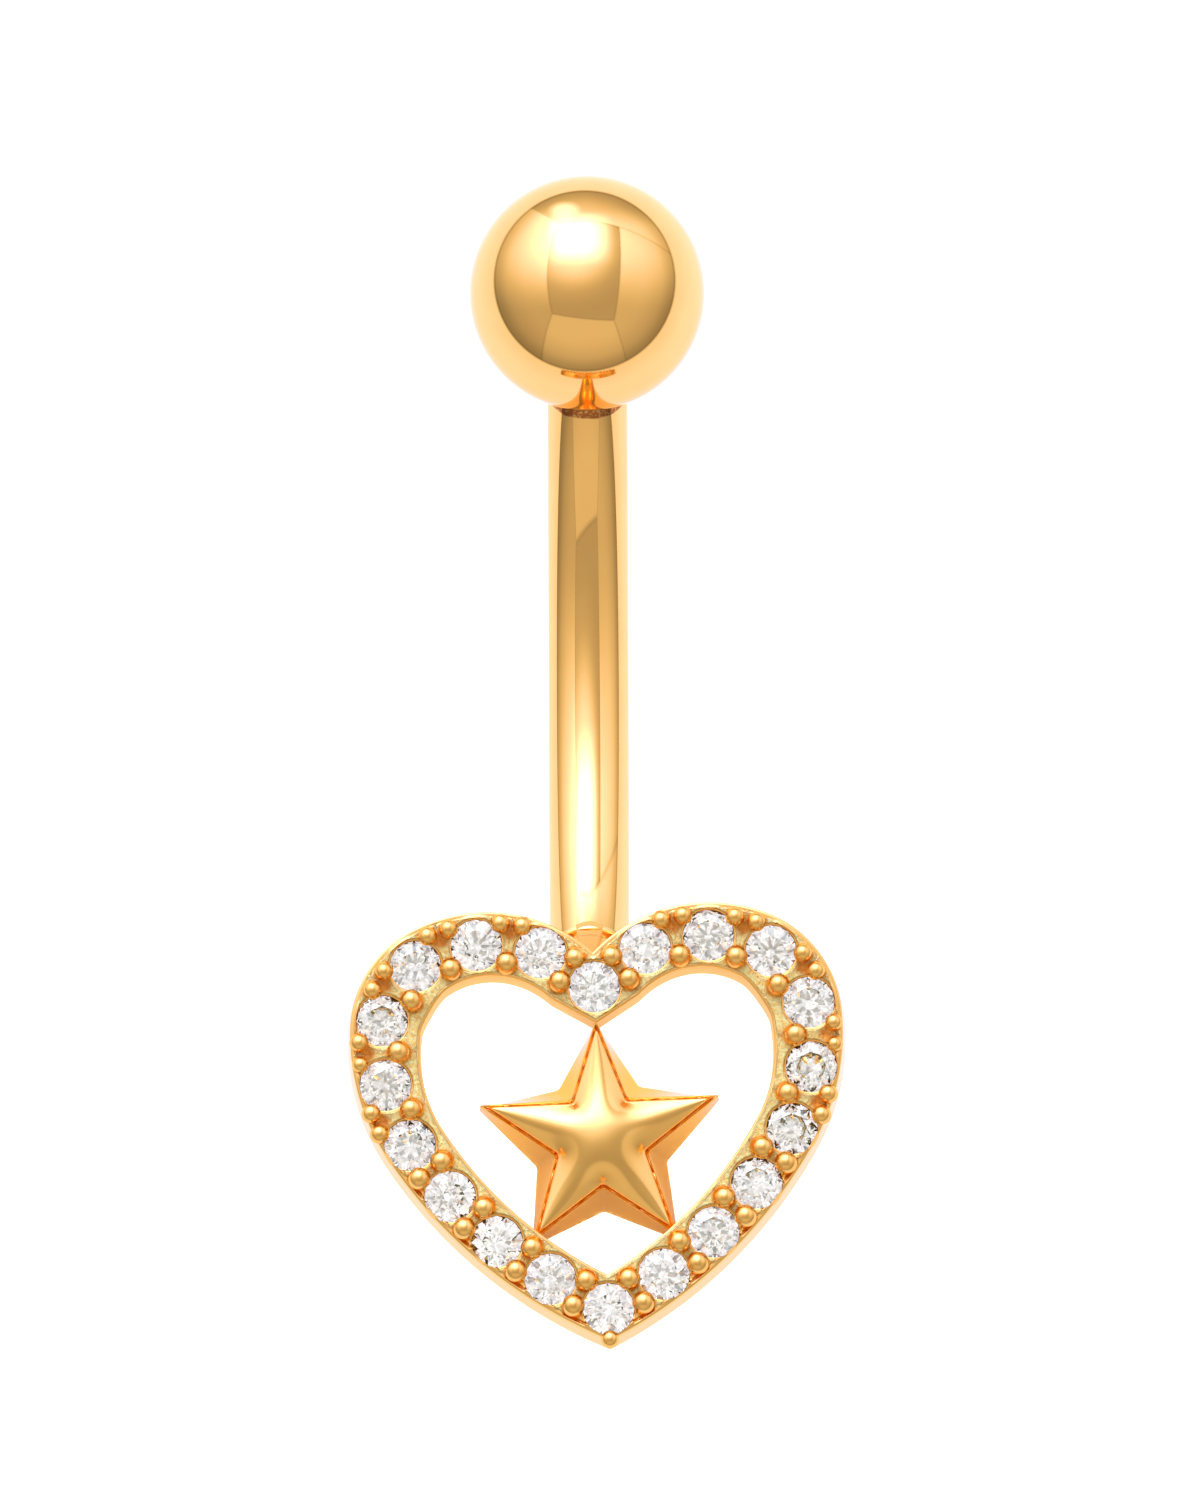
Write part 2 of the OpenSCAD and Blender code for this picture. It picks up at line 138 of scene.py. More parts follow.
@dataclass
class Skin:
    """Points, four-cornered faces and point marks of a surface, in millimetres, on its way to a mesh."""

    points: Array
    faces: Array
    marks: dict[str, Array] = field(default_factory=dict)

    @classmethod
    def grid(cls, points: Array, marks: dict[str, Array] | None = None) -> "Skin":
        """Puts a face between each four neighbours of a grid whose columns close into a ring.

        Args:
            points: Points shaped (..., rows, columns, 3); each leading index is a grid of its own.
            marks: Values for the points, shaped as the points without their last axis, or with it.

        Returns:
            The surface over the whole grid.
        """
        rows, columns = points.shape[-3:-1]
        index = np.arange(points.size // 3).reshape(-1, rows, columns)
        following = np.roll(index, -1, axis=2)
        corners = [index[:, :-1], following[:, :-1], following[:, 1:], index[:, 1:]]
        faces = np.stack(corners, axis=-1).reshape(-1, 4)
        flat = {}
        for name, values in (marks or {}).items():
            whole = values.ndim == points.ndim
            flat[name] = values.reshape(-1, 3) if whole else values.reshape(-1)
        return cls(points.reshape(-1, 3), faces, flat)

    def joined(self, other: "Skin") -> "Skin":
        """Joins two surfaces; a mark that one of them lacks is 0 there.

        Args:
            other: The surface to add.

        Returns:
            Both in one.
        """
        marks = {}
        for name in {**self.marks, **other.marks}:
            sample = self.marks.get(name, other.marks.get(name))
            parts = []
            for skin in (self, other):
                blank = np.zeros((len(skin.points),) + sample.shape[1:])
                parts.append(skin.marks.get(name, blank))
            marks[name] = np.concatenate(parts)
        points = np.concatenate([self.points, other.points])
        faces = np.concatenate([self.faces, other.faces + len(self.points)])
        return Skin(points, faces, marks)


def make_piece(
    name: str,
    skin: Skin,
    place: Callable[[Array], Array],
    material: bpy.types.Material,
    body: Body,
    replaced: str,
    sharp: float = CRISP_BEND,
) -> bpy.types.Object:
    """Makes a gold piece from a surface, merges its seams and poles, turns its faces outwards and files it.

    Args:
        name: The piece's name.
        skin: Its surface.
        place: Turns the skin's millimetres into metres of the frame.
        material: Its finish.
        body: The body that it rides on.
        replaced: The CAD node that it stands for.
        sharp: Edges that bend by more than this many degrees stay crisp.

    Returns:
        The new object, at the origin with its place in its mesh.
    """
    mesh = bpy.data.meshes.new(name)
    mesh.from_pydata(place(skin.points).tolist(), [], skin.faces.tolist())
    for mark, values in skin.marks.items():
        vector = values.ndim == 2
        layer = mesh.attributes.new(mark, "FLOAT_VECTOR" if vector else "FLOAT", "POINT")
        layer.data.foreach_set("vector" if vector else "value", values.astype(np.float32).ravel())
    shell = bmesh.new()
    shell.from_mesh(mesh)
    bmesh.ops.remove_doubles(shell, verts=shell.verts, dist=MERGE_DISTANCE)
    bmesh.ops.recalc_face_normals(shell, faces=shell.faces)
    shell.to_mesh(mesh)
    shell.free()
    mesh.polygons.foreach_set("use_smooth", np.ones(len(mesh.polygons), bool))
    mesh.set_sharp_from_angle(angle=np.radians(sharp))
    mesh.materials.append(material)
    piece = bpy.data.objects.new(name, mesh)
    bpy.context.scene.collection.objects.link(piece)
    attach(piece, body.value)
    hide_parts(replaced)
    log.info("%s: %d points, %d faces", name, len(mesh.vertices), len(mesh.polygons))
    return piece


class Wire:
    """A socket in a node tree; arithmetic on wires adds Math nodes."""

    def __init__(self, graph: "Graph", socket: bpy.types.NodeSocket) -> None:
        """Keeps the tree and the socket."""
        self.graph = graph
        self.socket = socket

    def __add__(self, other: "Wire | float") -> "Wire":
        """Returns self + other."""
        return self.graph.math("ADD", self, other)

    def __sub__(self, other: "Wire | float") -> "Wire":
        """Returns self - other."""
        return self.graph.math("SUBTRACT", self, other)

    def __rsub__(self, other: float) -> "Wire":
        """Returns other - self."""
        return self.graph.math("SUBTRACT", other, self)

    def __mul__(self, other: "Wire | float") -> "Wire":
        """Returns self times other."""
        return self.graph.math("MULTIPLY", self, other)

    def __truediv__(self, other: "Wire | float") -> "Wire":
        """Returns self / other."""
        return self.graph.math("DIVIDE", self, other)

    def __pow__(self, other: float) -> "Wire":
        """Returns self to a power."""
        return self.graph.math("POWER", self, other)

    def __gt__(self, other: "Wire | float") -> "Wire":
        """Returns 1 where self is greater than other, and else 0."""
        return self.graph.math("GREATER_THAN", self, other)

    def __abs__(self) -> "Wire":
        """Returns self without its sign."""
        return self.graph.math("ABSOLUTE", self)

    __radd__ = __add__
    __rmul__ = __mul__

    def at_least(self, least: "Wire | float") -> "Wire":
        """Returns self, or `least` where self is below it."""
        return self.graph.math("MAXIMUM", self, least)

    def rise(self, low: float, high: float) -> "Wire":
        """Rises smoothly from 0 where self is `low` to 1 where it is `high`."""
        inputs = {"Value": self, "From Min": low, "From Max": high}
        return self.graph.add("ShaderNodeMapRange", {"interpolation_type": "SMOOTHSTEP"}, inputs)


class Graph:
    """Adds nodes to a node tree."""

    def __init__(self, tree: bpy.types.NodeTree) -> None:
        """Empties the tree and keeps it."""
        self.tree = tree
        self.tree.nodes.clear()

    def add(
        self, kind: str, settings: dict | None = None, inputs: dict | None = None, output: int | str = 0,
    ) -> Wire:
        """Adds one node.

        Args:
            kind: The node's type.
            settings: Its settings, set before its inputs; `stops` are a ramp's (place, colour) pairs.
            inputs: Values or wires by the input's name or number.
            output: The output wanted, by name or number.

        Returns:
            The wire from that output, or a wire on nothing where the node has no outputs.
        """
        node = self.tree.nodes.new(kind)
        for name, value in (settings or {}).items():
            if name == "stops":
                self._set_stops(node.color_ramp, value)
            else:
                setattr(node, name, value)
        for name, value in (inputs or {}).items():
            if isinstance(value, Wire):
                self.tree.links.new(value.socket, node.inputs[name])
            else:
                node.inputs[name].default_value = value
        return Wire(self, node.outputs[output] if len(node.outputs) else None)

    @staticmethod
    def _set_stops(ramp: bpy.types.ColorRamp, stops: tuple[tuple[float, Colour], ...]) -> None:
        """Gives a ramp its stops.

        Args:
            ramp: A new ramp.
            stops: Places and colours, in order.
        """
        while len(ramp.elements) < len(stops):
            ramp.elements.new(0.5)
        for element, (place, colour) in zip(ramp.elements, stops):
            element.position = place
            element.color = (*colour, 1.0)

    def math(self, operation: str, *values: Wire | float) -> Wire:
        """Adds a Math node with this operation and these inputs."""
        return self.add("ShaderNodeMath", {"operation": operation}, dict(enumerate(values)))

    def mix(self, factor: Wire | float, first: Wire | Colour, second: Wire | Colour) -> Wire:
        """Mixes two colours.

        Args:
            factor: Share of the second colour.
            first: First colour.
            second: Second colour.

        Returns:
            The mixed colour.
        """
        colours = [c if isinstance(c, Wire) else (*c, 1.0) for c in (first, second)]
        inputs = {0: factor, 6: colours[0], 7: colours[1]}
        return self.add("ShaderNodeMix", {"data_type": "RGBA"}, inputs, 2)

    def dot(self, vector: Wire, axis: Array) -> Wire:
        """Returns the dot product of a vector and a fixed axis."""
        inputs = {0: vector, 1: tuple(float(c) for c in axis)}
        return self.add("ShaderNodeVectorMath", {"operation": "DOT_PRODUCT"}, inputs, "Value")

    def scaled(self, vector: Wire, scale: tuple[float, float, float]) -> Wire:
        """Returns a vector times a fixed scale on each axis."""
        return self.add("ShaderNodeVectorMath", {"operation": "MULTIPLY"}, {0: vector, 1: scale})

    def millimetres(self) -> Wire:
        """Returns the object coordinates in millimetres."""
        return self.scaled(self.add("ShaderNodeTexCoord", {}, {}, "Object"), (1 / MM, 1 / MM, 1 / MM))

    def noise(self, vector: Wire, scale: float, detail: float = 2.0, roughness: float = 0.5) -> Wire:
        """Returns 3-D noise of about 0 to 1 with features of the vector's unit divided by `scale`."""
        inputs = {"Vector": vector, "Scale": scale, "Detail": detail, "Roughness": roughness}
        return self.add("ShaderNodeTexNoise", {}, inputs, "Fac")

    def bump(self, height: Wire, distance: float, normal: Wire | None = None) -> Wire:
        """Returns a normal bent by a height.

        Args:
            height: Height in units of `distance`.
            distance: What a height of 1 measures, in metres.
            normal: A normal to start from.

        Returns:
            The bent normal.
        """
        inputs = {"Height": height, "Distance": distance, "Strength": 1.0}
        if normal is not None:
            inputs["Normal"] = normal
        return self.add("ShaderNodeBump", {}, inputs)

    def mark(self, name: str, output: str = "Fac") -> Wire:
        """Returns a point mark of the mesh."""
        return self.add("ShaderNodeAttribute", {"attribute_name": name}, {}, output)

    def ray(self, kind: str) -> Wire:
        """Returns 1 for a ray of this kind, such as Is Camera Ray, and else 0."""
        return self.add("ShaderNodeLightPath", {}, {}, kind)

    def surface(self, inputs: dict) -> None:
        """Ends the tree in a Principled surface with these inputs."""
        shader = self.add("ShaderNodeBsdfPrincipled", {}, inputs)
        self.add("ShaderNodeOutputMaterial", {}, {"Surface": shader})


def new_graph(name: str) -> tuple[bpy.types.Material, Graph]:
    """Makes an empty material.

    Args:
        name: The material's name.

    Returns:
        The material and the graph of its nodes.
    """
    material = bpy.data.materials.new(name)
    material.use_nodes = True
    return material, Graph(material.node_tree)


@dataclass(frozen=True)
class GoldFinish:
    """Yellow gold: polished, satin or as cast, with painted shade in deeper orange where it folds back on
    itself.

    `deep` is the orange of painted shade in folds and recesses, `brown` that of painted shade on walls that
    look away from the light and on the solder, and of a brown band on the bar under the ball, and `edge` the
    colour seen along the surface. `ripple` is in metres; `grain` and `fibre` are in millimetres.
    Where `matt` is 1, brown gold is even and hardly mirrors; where it is 0, it is speckled and polished.
    """

    name: str
    base: Colour = (0.95, 0.52, 0.148)
    cloudy: Colour = (0.95, 0.58, 0.17)
    deep: Colour = (0.88, 0.36, 0.06)
    brown: Colour = (0.36, 0.10, 0.02)
    edge: Colour = (1.0, 0.85, 0.62)
    grain_tone: Colour = (1.0, 0.74, 0.29)
    grain_light: Colour = (1.0, 0.92, 0.47)
    grain_dark: Colour = (0.90, 0.45, 0.10)
    roughness: float = 0.05
    smear: float = 0.03
    grain_haze: float = 0.22
    crevice_haze: float = 0.12
    ripple: float = 0.00000035
    grain: float = 0.0
    fibre: float = 0.0
    grain_cover: float = 0.9
    dark_cover: float = 0.8
    coat: float = 0.2
    matt: float = 0.0

    def material(self) -> bpy.types.Material:
        """Builds the finish.

        The colour goes from the base to the deep orange with the mark `crevice`, which is painted shade in
        folds, pits and holes, low on the beads and on sides that face down, and to brown with the mark
        `brown`, which is painted shade on walls that look away from the light and on the solder, and a brown
        band on the bar under the ball. The roughness has a fine smear. The normal has a faint ripple, and
        where the mark `rough` is above 0 it has cast grain, and fibres that run out from the stones.

        Returns:
            The material.
        """
        material, graph = new_graph(self.name)
        place = graph.millimetres()
        crevice = graph.mark("crevice")
        rough = graph.mark("rough")
        cloud = graph.noise(place, 1.3, 3.0)
        fine = graph.noise(place, 18.0, 4.0, 0.6)
        toned = graph.mix(cloud.rise(0.35, 0.75) * 0.35, self.base, self.cloudy)
        normal = graph.bump(cloud, self.ripple)
        if self.grain:
            speck = graph.noise(place, 13.0, 5.0, 0.7)
            toned = graph.mix(rough * self.grain_cover, toned, self.grain_tone)
            toned = graph.mix(rough * speck.rise(0.45, 0.58), toned, self.grain_light)
            toned = graph.mix(rough * speck.rise(0.43, 0.35) * self.dark_cover, toned, self.grain_dark)
            pits = graph.noise(place, 17.0, 5.0, 0.65)
            ray = graph.scaled(graph.mark("ray", "Vector"), (1.0, 1.0, 0.35))
            pleats = graph.noise(ray, 9.0, 3.0, 0.6)
            normal = graph.bump(rough * (pits * self.grain + pleats * self.fibre), MM, normal)
        haze = self.roughness + self.smear * fine + rough * self.grain_haze
        # painted shade: brown on walls that look away from the light and on the solder; on the bar, a brown
        # band under the ball
        brown = graph.mark("brown") * (1.0 - fine.rise(0.50, 0.62) * (0.5 - 0.5 * self.matt))
        # painted shade: deep orange where the crevice mark is high
        shaded = graph.mix(crevice.rise(0.05, 0.95), toned, self.deep)
        graph.surface(
            {
                "Base Color": graph.mix(brown, shaded, self.brown),
                "Metallic": 1.0 - rough * 0.85 - brown * (0.8 * self.matt),
                "Specular IOR Level": 0.0,
                "Roughness": haze + crevice * self.crevice_haze,
                "Specular Tint": (*self.edge, 1.0),
                "Coat Weight": self.coat,
                "Coat Roughness": 0.03,
                "Coat IOR": 1.5,
                "Normal": normal,
            }
        )
        return material


SOFT_EDGE = (1.0, 0.68, 0.36)
POLISHED_GOLD = GoldFinish("polished_gold")
SATIN_GOLD = GoldFinish(
    "satin_gold", base=(0.90, 0.49, 0.13), deep=(0.93, 0.44, 0.10), brown=(0.58, 0.31, 0.10), edge=SOFT_EDGE,
    roughness=0.17, smear=0.05, coat=0.0, matt=1.0,
)
BEAD_GOLD = GoldFinish(
    "bead_gold", base=(0.90, 0.48, 0.12), edge=SOFT_EDGE, roughness=0.22, smear=0.06, coat=0.0,
)
GRAINED_GOLD = GoldFinish(
    "grained_gold", deep=(0.95, 0.46, 0.10), brown=(0.86, 0.50, 0.14), edge=(1.0, 0.80, 0.46),
    roughness=0.16, smear=0.05, grain=0.15, fibre=0.13, coat=0.0, matt=1.0,
)


@dataclass(frozen=True)
class StoneFinish:
    """Clear cubic zirconia with a hardly visible cast of rose and blue.

    Its facets are a little uneven: `lean` is the height of broad waves in millimetres, `wobble` of small.
    """

    name: str = "cubic_zirconia"
    index: float = 2.15
    lean: float = 0.26
    wobble: float = 0.016
    smear: float = 0.02
    glint: Colour = (1.0, 0.97, 0.60)
    casts: tuple[tuple[float, Colour], ...] = (
        (0.3, (0.98, 0.99, 1.0)), (0.5, (1.0, 1.0, 1.0)), (0.7, (1.0, 0.98, 0.965)),
    )

    def material(self) -> bpy.types.Material:
        """Builds the finish: clear, with faint clouds in its tint and its polish.

        Returns:
            The material.
        """
        material, graph = new_graph(self.name)
        place = graph.millimetres()
        clouds = {0: graph.noise(place, 1.7)}
        cast = graph.add("ShaderNodeValToRGB", {"stops": self.casts}, clouds, "Color")
        leaning = graph.bump(graph.noise(place, 0.4, 0.0), self.lean * MM)
        graph.surface(
            {
                "Base Color": cast,
                "Roughness": graph.noise(place, 9.0, 3.0).rise(0.6, 0.9) * self.smear,
                "IOR": self.index,
                "Transmission Weight": 1.0,
                "Specular Tint": (*self.glint, 1.0),
                "Normal": graph.bump(graph.noise(place, 2.2, 1.0), self.wobble * MM, leaning),
            }
        )
        return material


@dataclass(frozen=True)
class FloorFinish:
    """A white table top, lit evenly from within so that it stays near the white of the background."""

    name: str = "white_table"
    shade: Colour = (0.90, 0.90, 0.90)
    base: Colour = (0.93, 0.93, 0.93)
    glow: float = 0.62

    def material(self) -> bpy.types.Material:
        """Builds the finish: matt white with a very faint cloud.

        Returns:
            The material.
        """
        material, graph = new_graph(self.name)
        cloud = graph.noise(graph.add("ShaderNodeTexCoord", {}, {}, "Object"), 60.0, 3.0)
        graph.surface(
            {
                "Base Color": graph.mix(cloud, self.shade, self.base),
                "Roughness": 0.8,
                "Emission Color": (1.0, 1.0, 1.0, 1.0),
                "Emission Strength": self.glow,
            }
        )
        return material


@dataclass(frozen=True)
class Upright:
    """The jewel's own axes as it is worn, in millimetres: x to its right, y to its back, z up the bar."""

    origin: Array
    axes: Array
    half_bend: float
    bend_r: float

    @classmethod
    def from_record(cls, record: dict, bar_chord: float) -> "Upright":
        """Works the axes out from the record's mount, at the bar's middle, and joint, along the thread.

        Args:
            record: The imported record.
            bar_chord: Straight length of the bar.

        Returns:
            The axes, with the bar's bend.
        """
        mount = record["mounts"][0]
        up = unit(np.array(mount["axis"], float))
        thread = unit(np.array(record["behaviour"]["joints"][0]["axis"], float))
        half_bend = float(np.arccos(thread @ up))
        back = unit(up * (thread @ up) - thread)
        bend_r = bar_chord / 2 / np.sin(half_bend)
        belly = bend_r * (1 - np.cos(half_bend))
        origin = np.array(mount["pos_m"]) / MM - back * belly
        return cls(origin, np.array([np.cross(back, up), back, up]), half_bend, bend_r)

    def world(self, points: Array) -> Array:
        """Turns upright millimetres into metres of the frame."""
        return (points @ self.axes + self.origin) * MM

    def local(self, points: Array) -> Array:
        """Turns metres of the frame into upright millimetres."""
        return (points / MM - self.origin) @ self.axes.T

    @property
    def ball_axis(self) -> Array:
        """Direction of the thread, from the bar to the ball."""
        return np.array([0.0, -np.sin(self.half_bend), np.cos(self.half_bend)])

    @property
    def upper_end(self) -> Array:
        """Middle of the bar's upper end."""
        return self.bar_point(np.array(self.half_bend))

    def bar_point(self, angle: Array) -> Array:
        """Finds points of the bar's centre line, an arc round a centre in front of it.

        Args:
            angle: Angles from the arc's middle, in radians, towards the ball.

        Returns:
            Points bend_r (0, cos angle - cos half_bend, sin angle).
        """
        y = self.bend_r * (np.cos(angle) - np.cos(self.half_bend))
        z = self.bend_r * np.sin(angle)
        return np.stack([np.zeros_like(y), y, z], axis=-1)


@dataclass(frozen=True)
class HeartPlane:
    """The heart's plane in millimetres: origin between the lobes, x right, y up, z out of its face."""

    upright: Upright
    bar_d: float
    side_offset: float = 0.16
    drop: float = 2.41
    bar_bite: float = 0.11
    turn: float = 2.3

    @property
    def back(self) -> float:
        """Where the back of the heart lies on the upright y axis."""
        return self.bar_bite - self.bar_d / 2 * np.cos(self.upright.half_bend)

    @property
    def origin(self) -> Array:
        """The heart's origin on the upright axes."""
        return np.array([self.side_offset, self.back, -self.upright.upper_end[2] - self.drop])

    @property
    def axes(self) -> Array:
        """The heart's axes on the upright ones."""
        c, s = np.cos(np.radians(self.turn)), np.sin(np.radians(self.turn))
        return np.array([[c, 0, s], [-s, 0, c], [0, -1, 0]])

    def world(self, points: Array) -> Array:
        """Turns points of the heart's plane into metres of the frame."""
        return self.upright.world(points @ self.axes + self.origin)

    def local(self, points: Array) -> Array:
        """Turns metres of the frame into points of the heart's plane."""
        return (self.upright.local(points) - self.origin) @ self.axes.T


@dataclass(frozen=True)
class HeartOutline:
    """Right half of the heart: four arcs that run into each other, and a band of changing width in them."""

    lobe_x: float = 2.235
    radii: tuple[float, ...] = (3.21, 2.32, 4.47, 9.79)
    joins: tuple[float, ...] = (66.0, 4.0, -31.0)
    band_w: float = 1.3
    cleft_web: float = 1.45
    blend: float = 24.0
    band_shares: tuple[tuple[float, float], ...] = (
        (-66, 0.92), (-35, 0.93), (-15, 1.03), (0, 1.1), (22, 1.17),
        (45, 1.18), (66, 1.08), (90, 0.98), (134, 0.98),
    )
    web_turn: float = 15.0

    @property
    def centres(self) -> Array:
        """Finds the arcs' centres; each lies on the line through the last arc's centre and its end.

        Returns:
            Four points, from the lobe down.
        """
        places = [np.array([self.lobe_x, 0.0])]
        for k, join in enumerate(np.radians(self.joins)):
            step = self.radii[k + 1] - self.radii[k]
            places.append(places[-1] - step * np.array([np.cos(join), np.sin(join)]))
        return np.array(places)

    def band(self, angle: Array) -> Array:
        """Finds the band's width, its shares' running mean over `blend` degrees to each side.

        Args:
            angle: Angles of the outline's normal, in degrees.

        Returns:
            Widths shaped as `angle`.
        """
        angles, shares = np.array(self.band_shares).T
        near = np.asarray(angle)[..., None] + np.linspace(-self.blend, self.blend, 13)
        return self.band_w * np.interp(near, angles, shares).mean(axis=-1)

    def edge(self, angle: Array, inset: Array) -> Array:
        """Finds points inside the outline.

        A point is centre + (radius - inset) (cos angle, sin angle), of the arc that the angle falls on.

        Args:
            angle: Angles of the outline's normal, in degrees.
            inset: How far inside the outline.

        Returns:
            Points shaped as `angle`, with x and y.
        """
        arc = np.sum(angle[..., None] <= np.array(self.joins), axis=-1)
        reach = np.array(self.radii)[arc] - inset
        return self.centres[arc] + polar(reach, np.radians(angle))

    def top_angle(self, inset: float) -> float:
        """Angle at which a line parallel to the outline meets the middle at the cleft."""
        return float(np.degrees(np.arccos(-self.lobe_x / (self.radii[0] - inset))))

    def tip_angle(self, inset: float) -> float:
        """Angle at which a line parallel to the outline meets the middle at the point."""
        return float(-np.degrees(np.arccos(-self.centres[3][0] / (self.radii[3] - inset))))

    @property
    def point_band(self) -> float:
        """Width of the band at the heart's point."""
        return float(self.band(-90.0))

    @property
    def web_line(self) -> tuple[Array, Array]:
        """Finds the straight stretch under the cleft.

        Returns:
            Its end on the band's inner side, and its end on the middle line.
        """
        start = self.edge(np.array(self.top_angle(0)), self.band(self.top_angle(0)))
        notch = self.edge(np.array(self.top_angle(0)), np.array(0.0))
        return start, np.array([0.0, notch[1] - self.cleft_web])

    def outer(self, part: Array, inset: float) -> Array:
        """Points of the outer side, by their part of the way from the cleft to the point."""
        top, tip = self.top_angle(inset), self.tip_angle(inset)
        return self._on_middle(self.edge(top + (tip - top) * part, np.array(inset)), part)

    def inner(self, part: Array, back: float) -> Array:
        """Points of the inner side, moved into the metal.

        Args:
            part: Part of the way from the middle under the cleft to the point.
            back: How far the line lies inside the metal.

        Returns:
            Points shaped as `part`, with x and y.
        """
        top = self.top_angle(0)
        tip = self.tip_angle(self.point_band - back)
        angle = top + self.web_turn + (tip - top - self.web_turn) * part
        arc = self.edge(np.minimum(angle, top), self.band(angle) - back)
        start = self.edge(np.array(top), self.band(top) - back)
        end = self.web_line[1] + [0, back]
        way = np.clip((angle - top) / self.web_turn, 0, 1)[..., None]
        line = start + (end - start) * way
        return self._on_middle(np.where(way > 0, line, arc), part)

    @staticmethod
    def _on_middle(points: Array, part: Array) -> Array:
        """Puts the first and the last point exactly on the middle line."""
        ends = (part <= 0) | (part >= 1)
        return np.where(ends[..., None], points * [0, 1], points)

    def locate(self, points: Array) -> tuple[Array, Array, Array]:
        """Finds where points of the band lie.

        Args:
            points: Points of the plane, shaped (..., 2).

        Returns:
            The angle of the outline's normal there, and the distances to the outer and to the inner side.
        """
        right = np.abs(points) * [1, 0] + points * [0, 1]
        gaps = right[..., None, :] - self.centres
        angles = np.degrees(np.arctan2(gaps[..., 1], gaps[..., 0]))
        a, b, c = self.joins
        tests = [
            angles[..., 0] > a,
            (angles[..., 1] <= a) & (angles[..., 1] > b),
            (angles[..., 2] <= b) & (angles[..., 2] > c),
        ]
        arc = np.select(tests, [0, 1, 2], 3)
        pick = arc[..., None]
        angle = np.take_along_axis(angles, pick, -1)[..., 0]
        reach = np.take_along_axis(np.linalg.norm(gaps, axis=-1), pick, -1)[..., 0]
        outer = np.array(self.radii)[arc] - reach
        start, end = self.web_line
        along = unit(end - start)
        web = (right - start) @ np.array([along[1], -along[0]])
        inner = np.where(angle > self.top_angle(0), web, self.band(angle) - outer)
        return angle, outer, inner


@dataclass(frozen=True)
class StoneRow:
    """Where the stones stand, read from the CAD stones, and the sizes of their seats."""

    centres: Array
    diameter: float = 1.03
    gap: float = 0.03
    sink: float = 0.06
    girdle: float = 0.04
    crown_slope: float = 34.5
    pavilion_slope: float = 40.8
    azure_d: float = 0.56

    @classmethod
    def from_frame(cls, heart: HeartPlane) -> "StoneRow":
        """Reads each stone's axis, which is the mean of its points because it is the same all round.

        Args:
            heart: The heart's plane.

        Returns:
            The stones, clockwise from the cleft.
        """
        names = sorted(name for name in frame["nodes"] if name.startswith("stone_"))
        centres = []
        for name in names:
            vertices = frame["nodes"][name].data.vertices
            flat = np.zeros(len(vertices) * 3, np.float32)
            vertices.foreach_get("co", flat)
            centres.append(heart.local(flat.reshape(-1, 3).mean(axis=0))[:2])
        return cls(np.array(centres))

    @property
    def radius(self) -> float:
        """Radius of a stone."""
        return self.diameter / 2

    @property
    def seat_r(self) -> float:
        """Radius of a stone's seat."""
        return self.radius + self.gap

    @property
    def middles(self) -> Array:
        """Points half-way between each stone and the next."""
        return (self.centres + np.roll(self.centres, -1, axis=0)) / 2

    @property
    def along(self) -> Array:
        """Directions from each stone to the next, clockwise."""
        return unit(np.roll(self.centres, -1, axis=0) - self.centres)

    @property
    def outward(self) -> Array:
        """Directions out of the heart between each stone and the next."""
        return self.along[:, ::-1] * [-1, 1]

    def nearest(self, points: Array) -> Array:
        """Distance of points to the axis of the nearest stone."""
        return np.linalg.norm(points[:, None] - self.centres, axis=-1).min(axis=1)


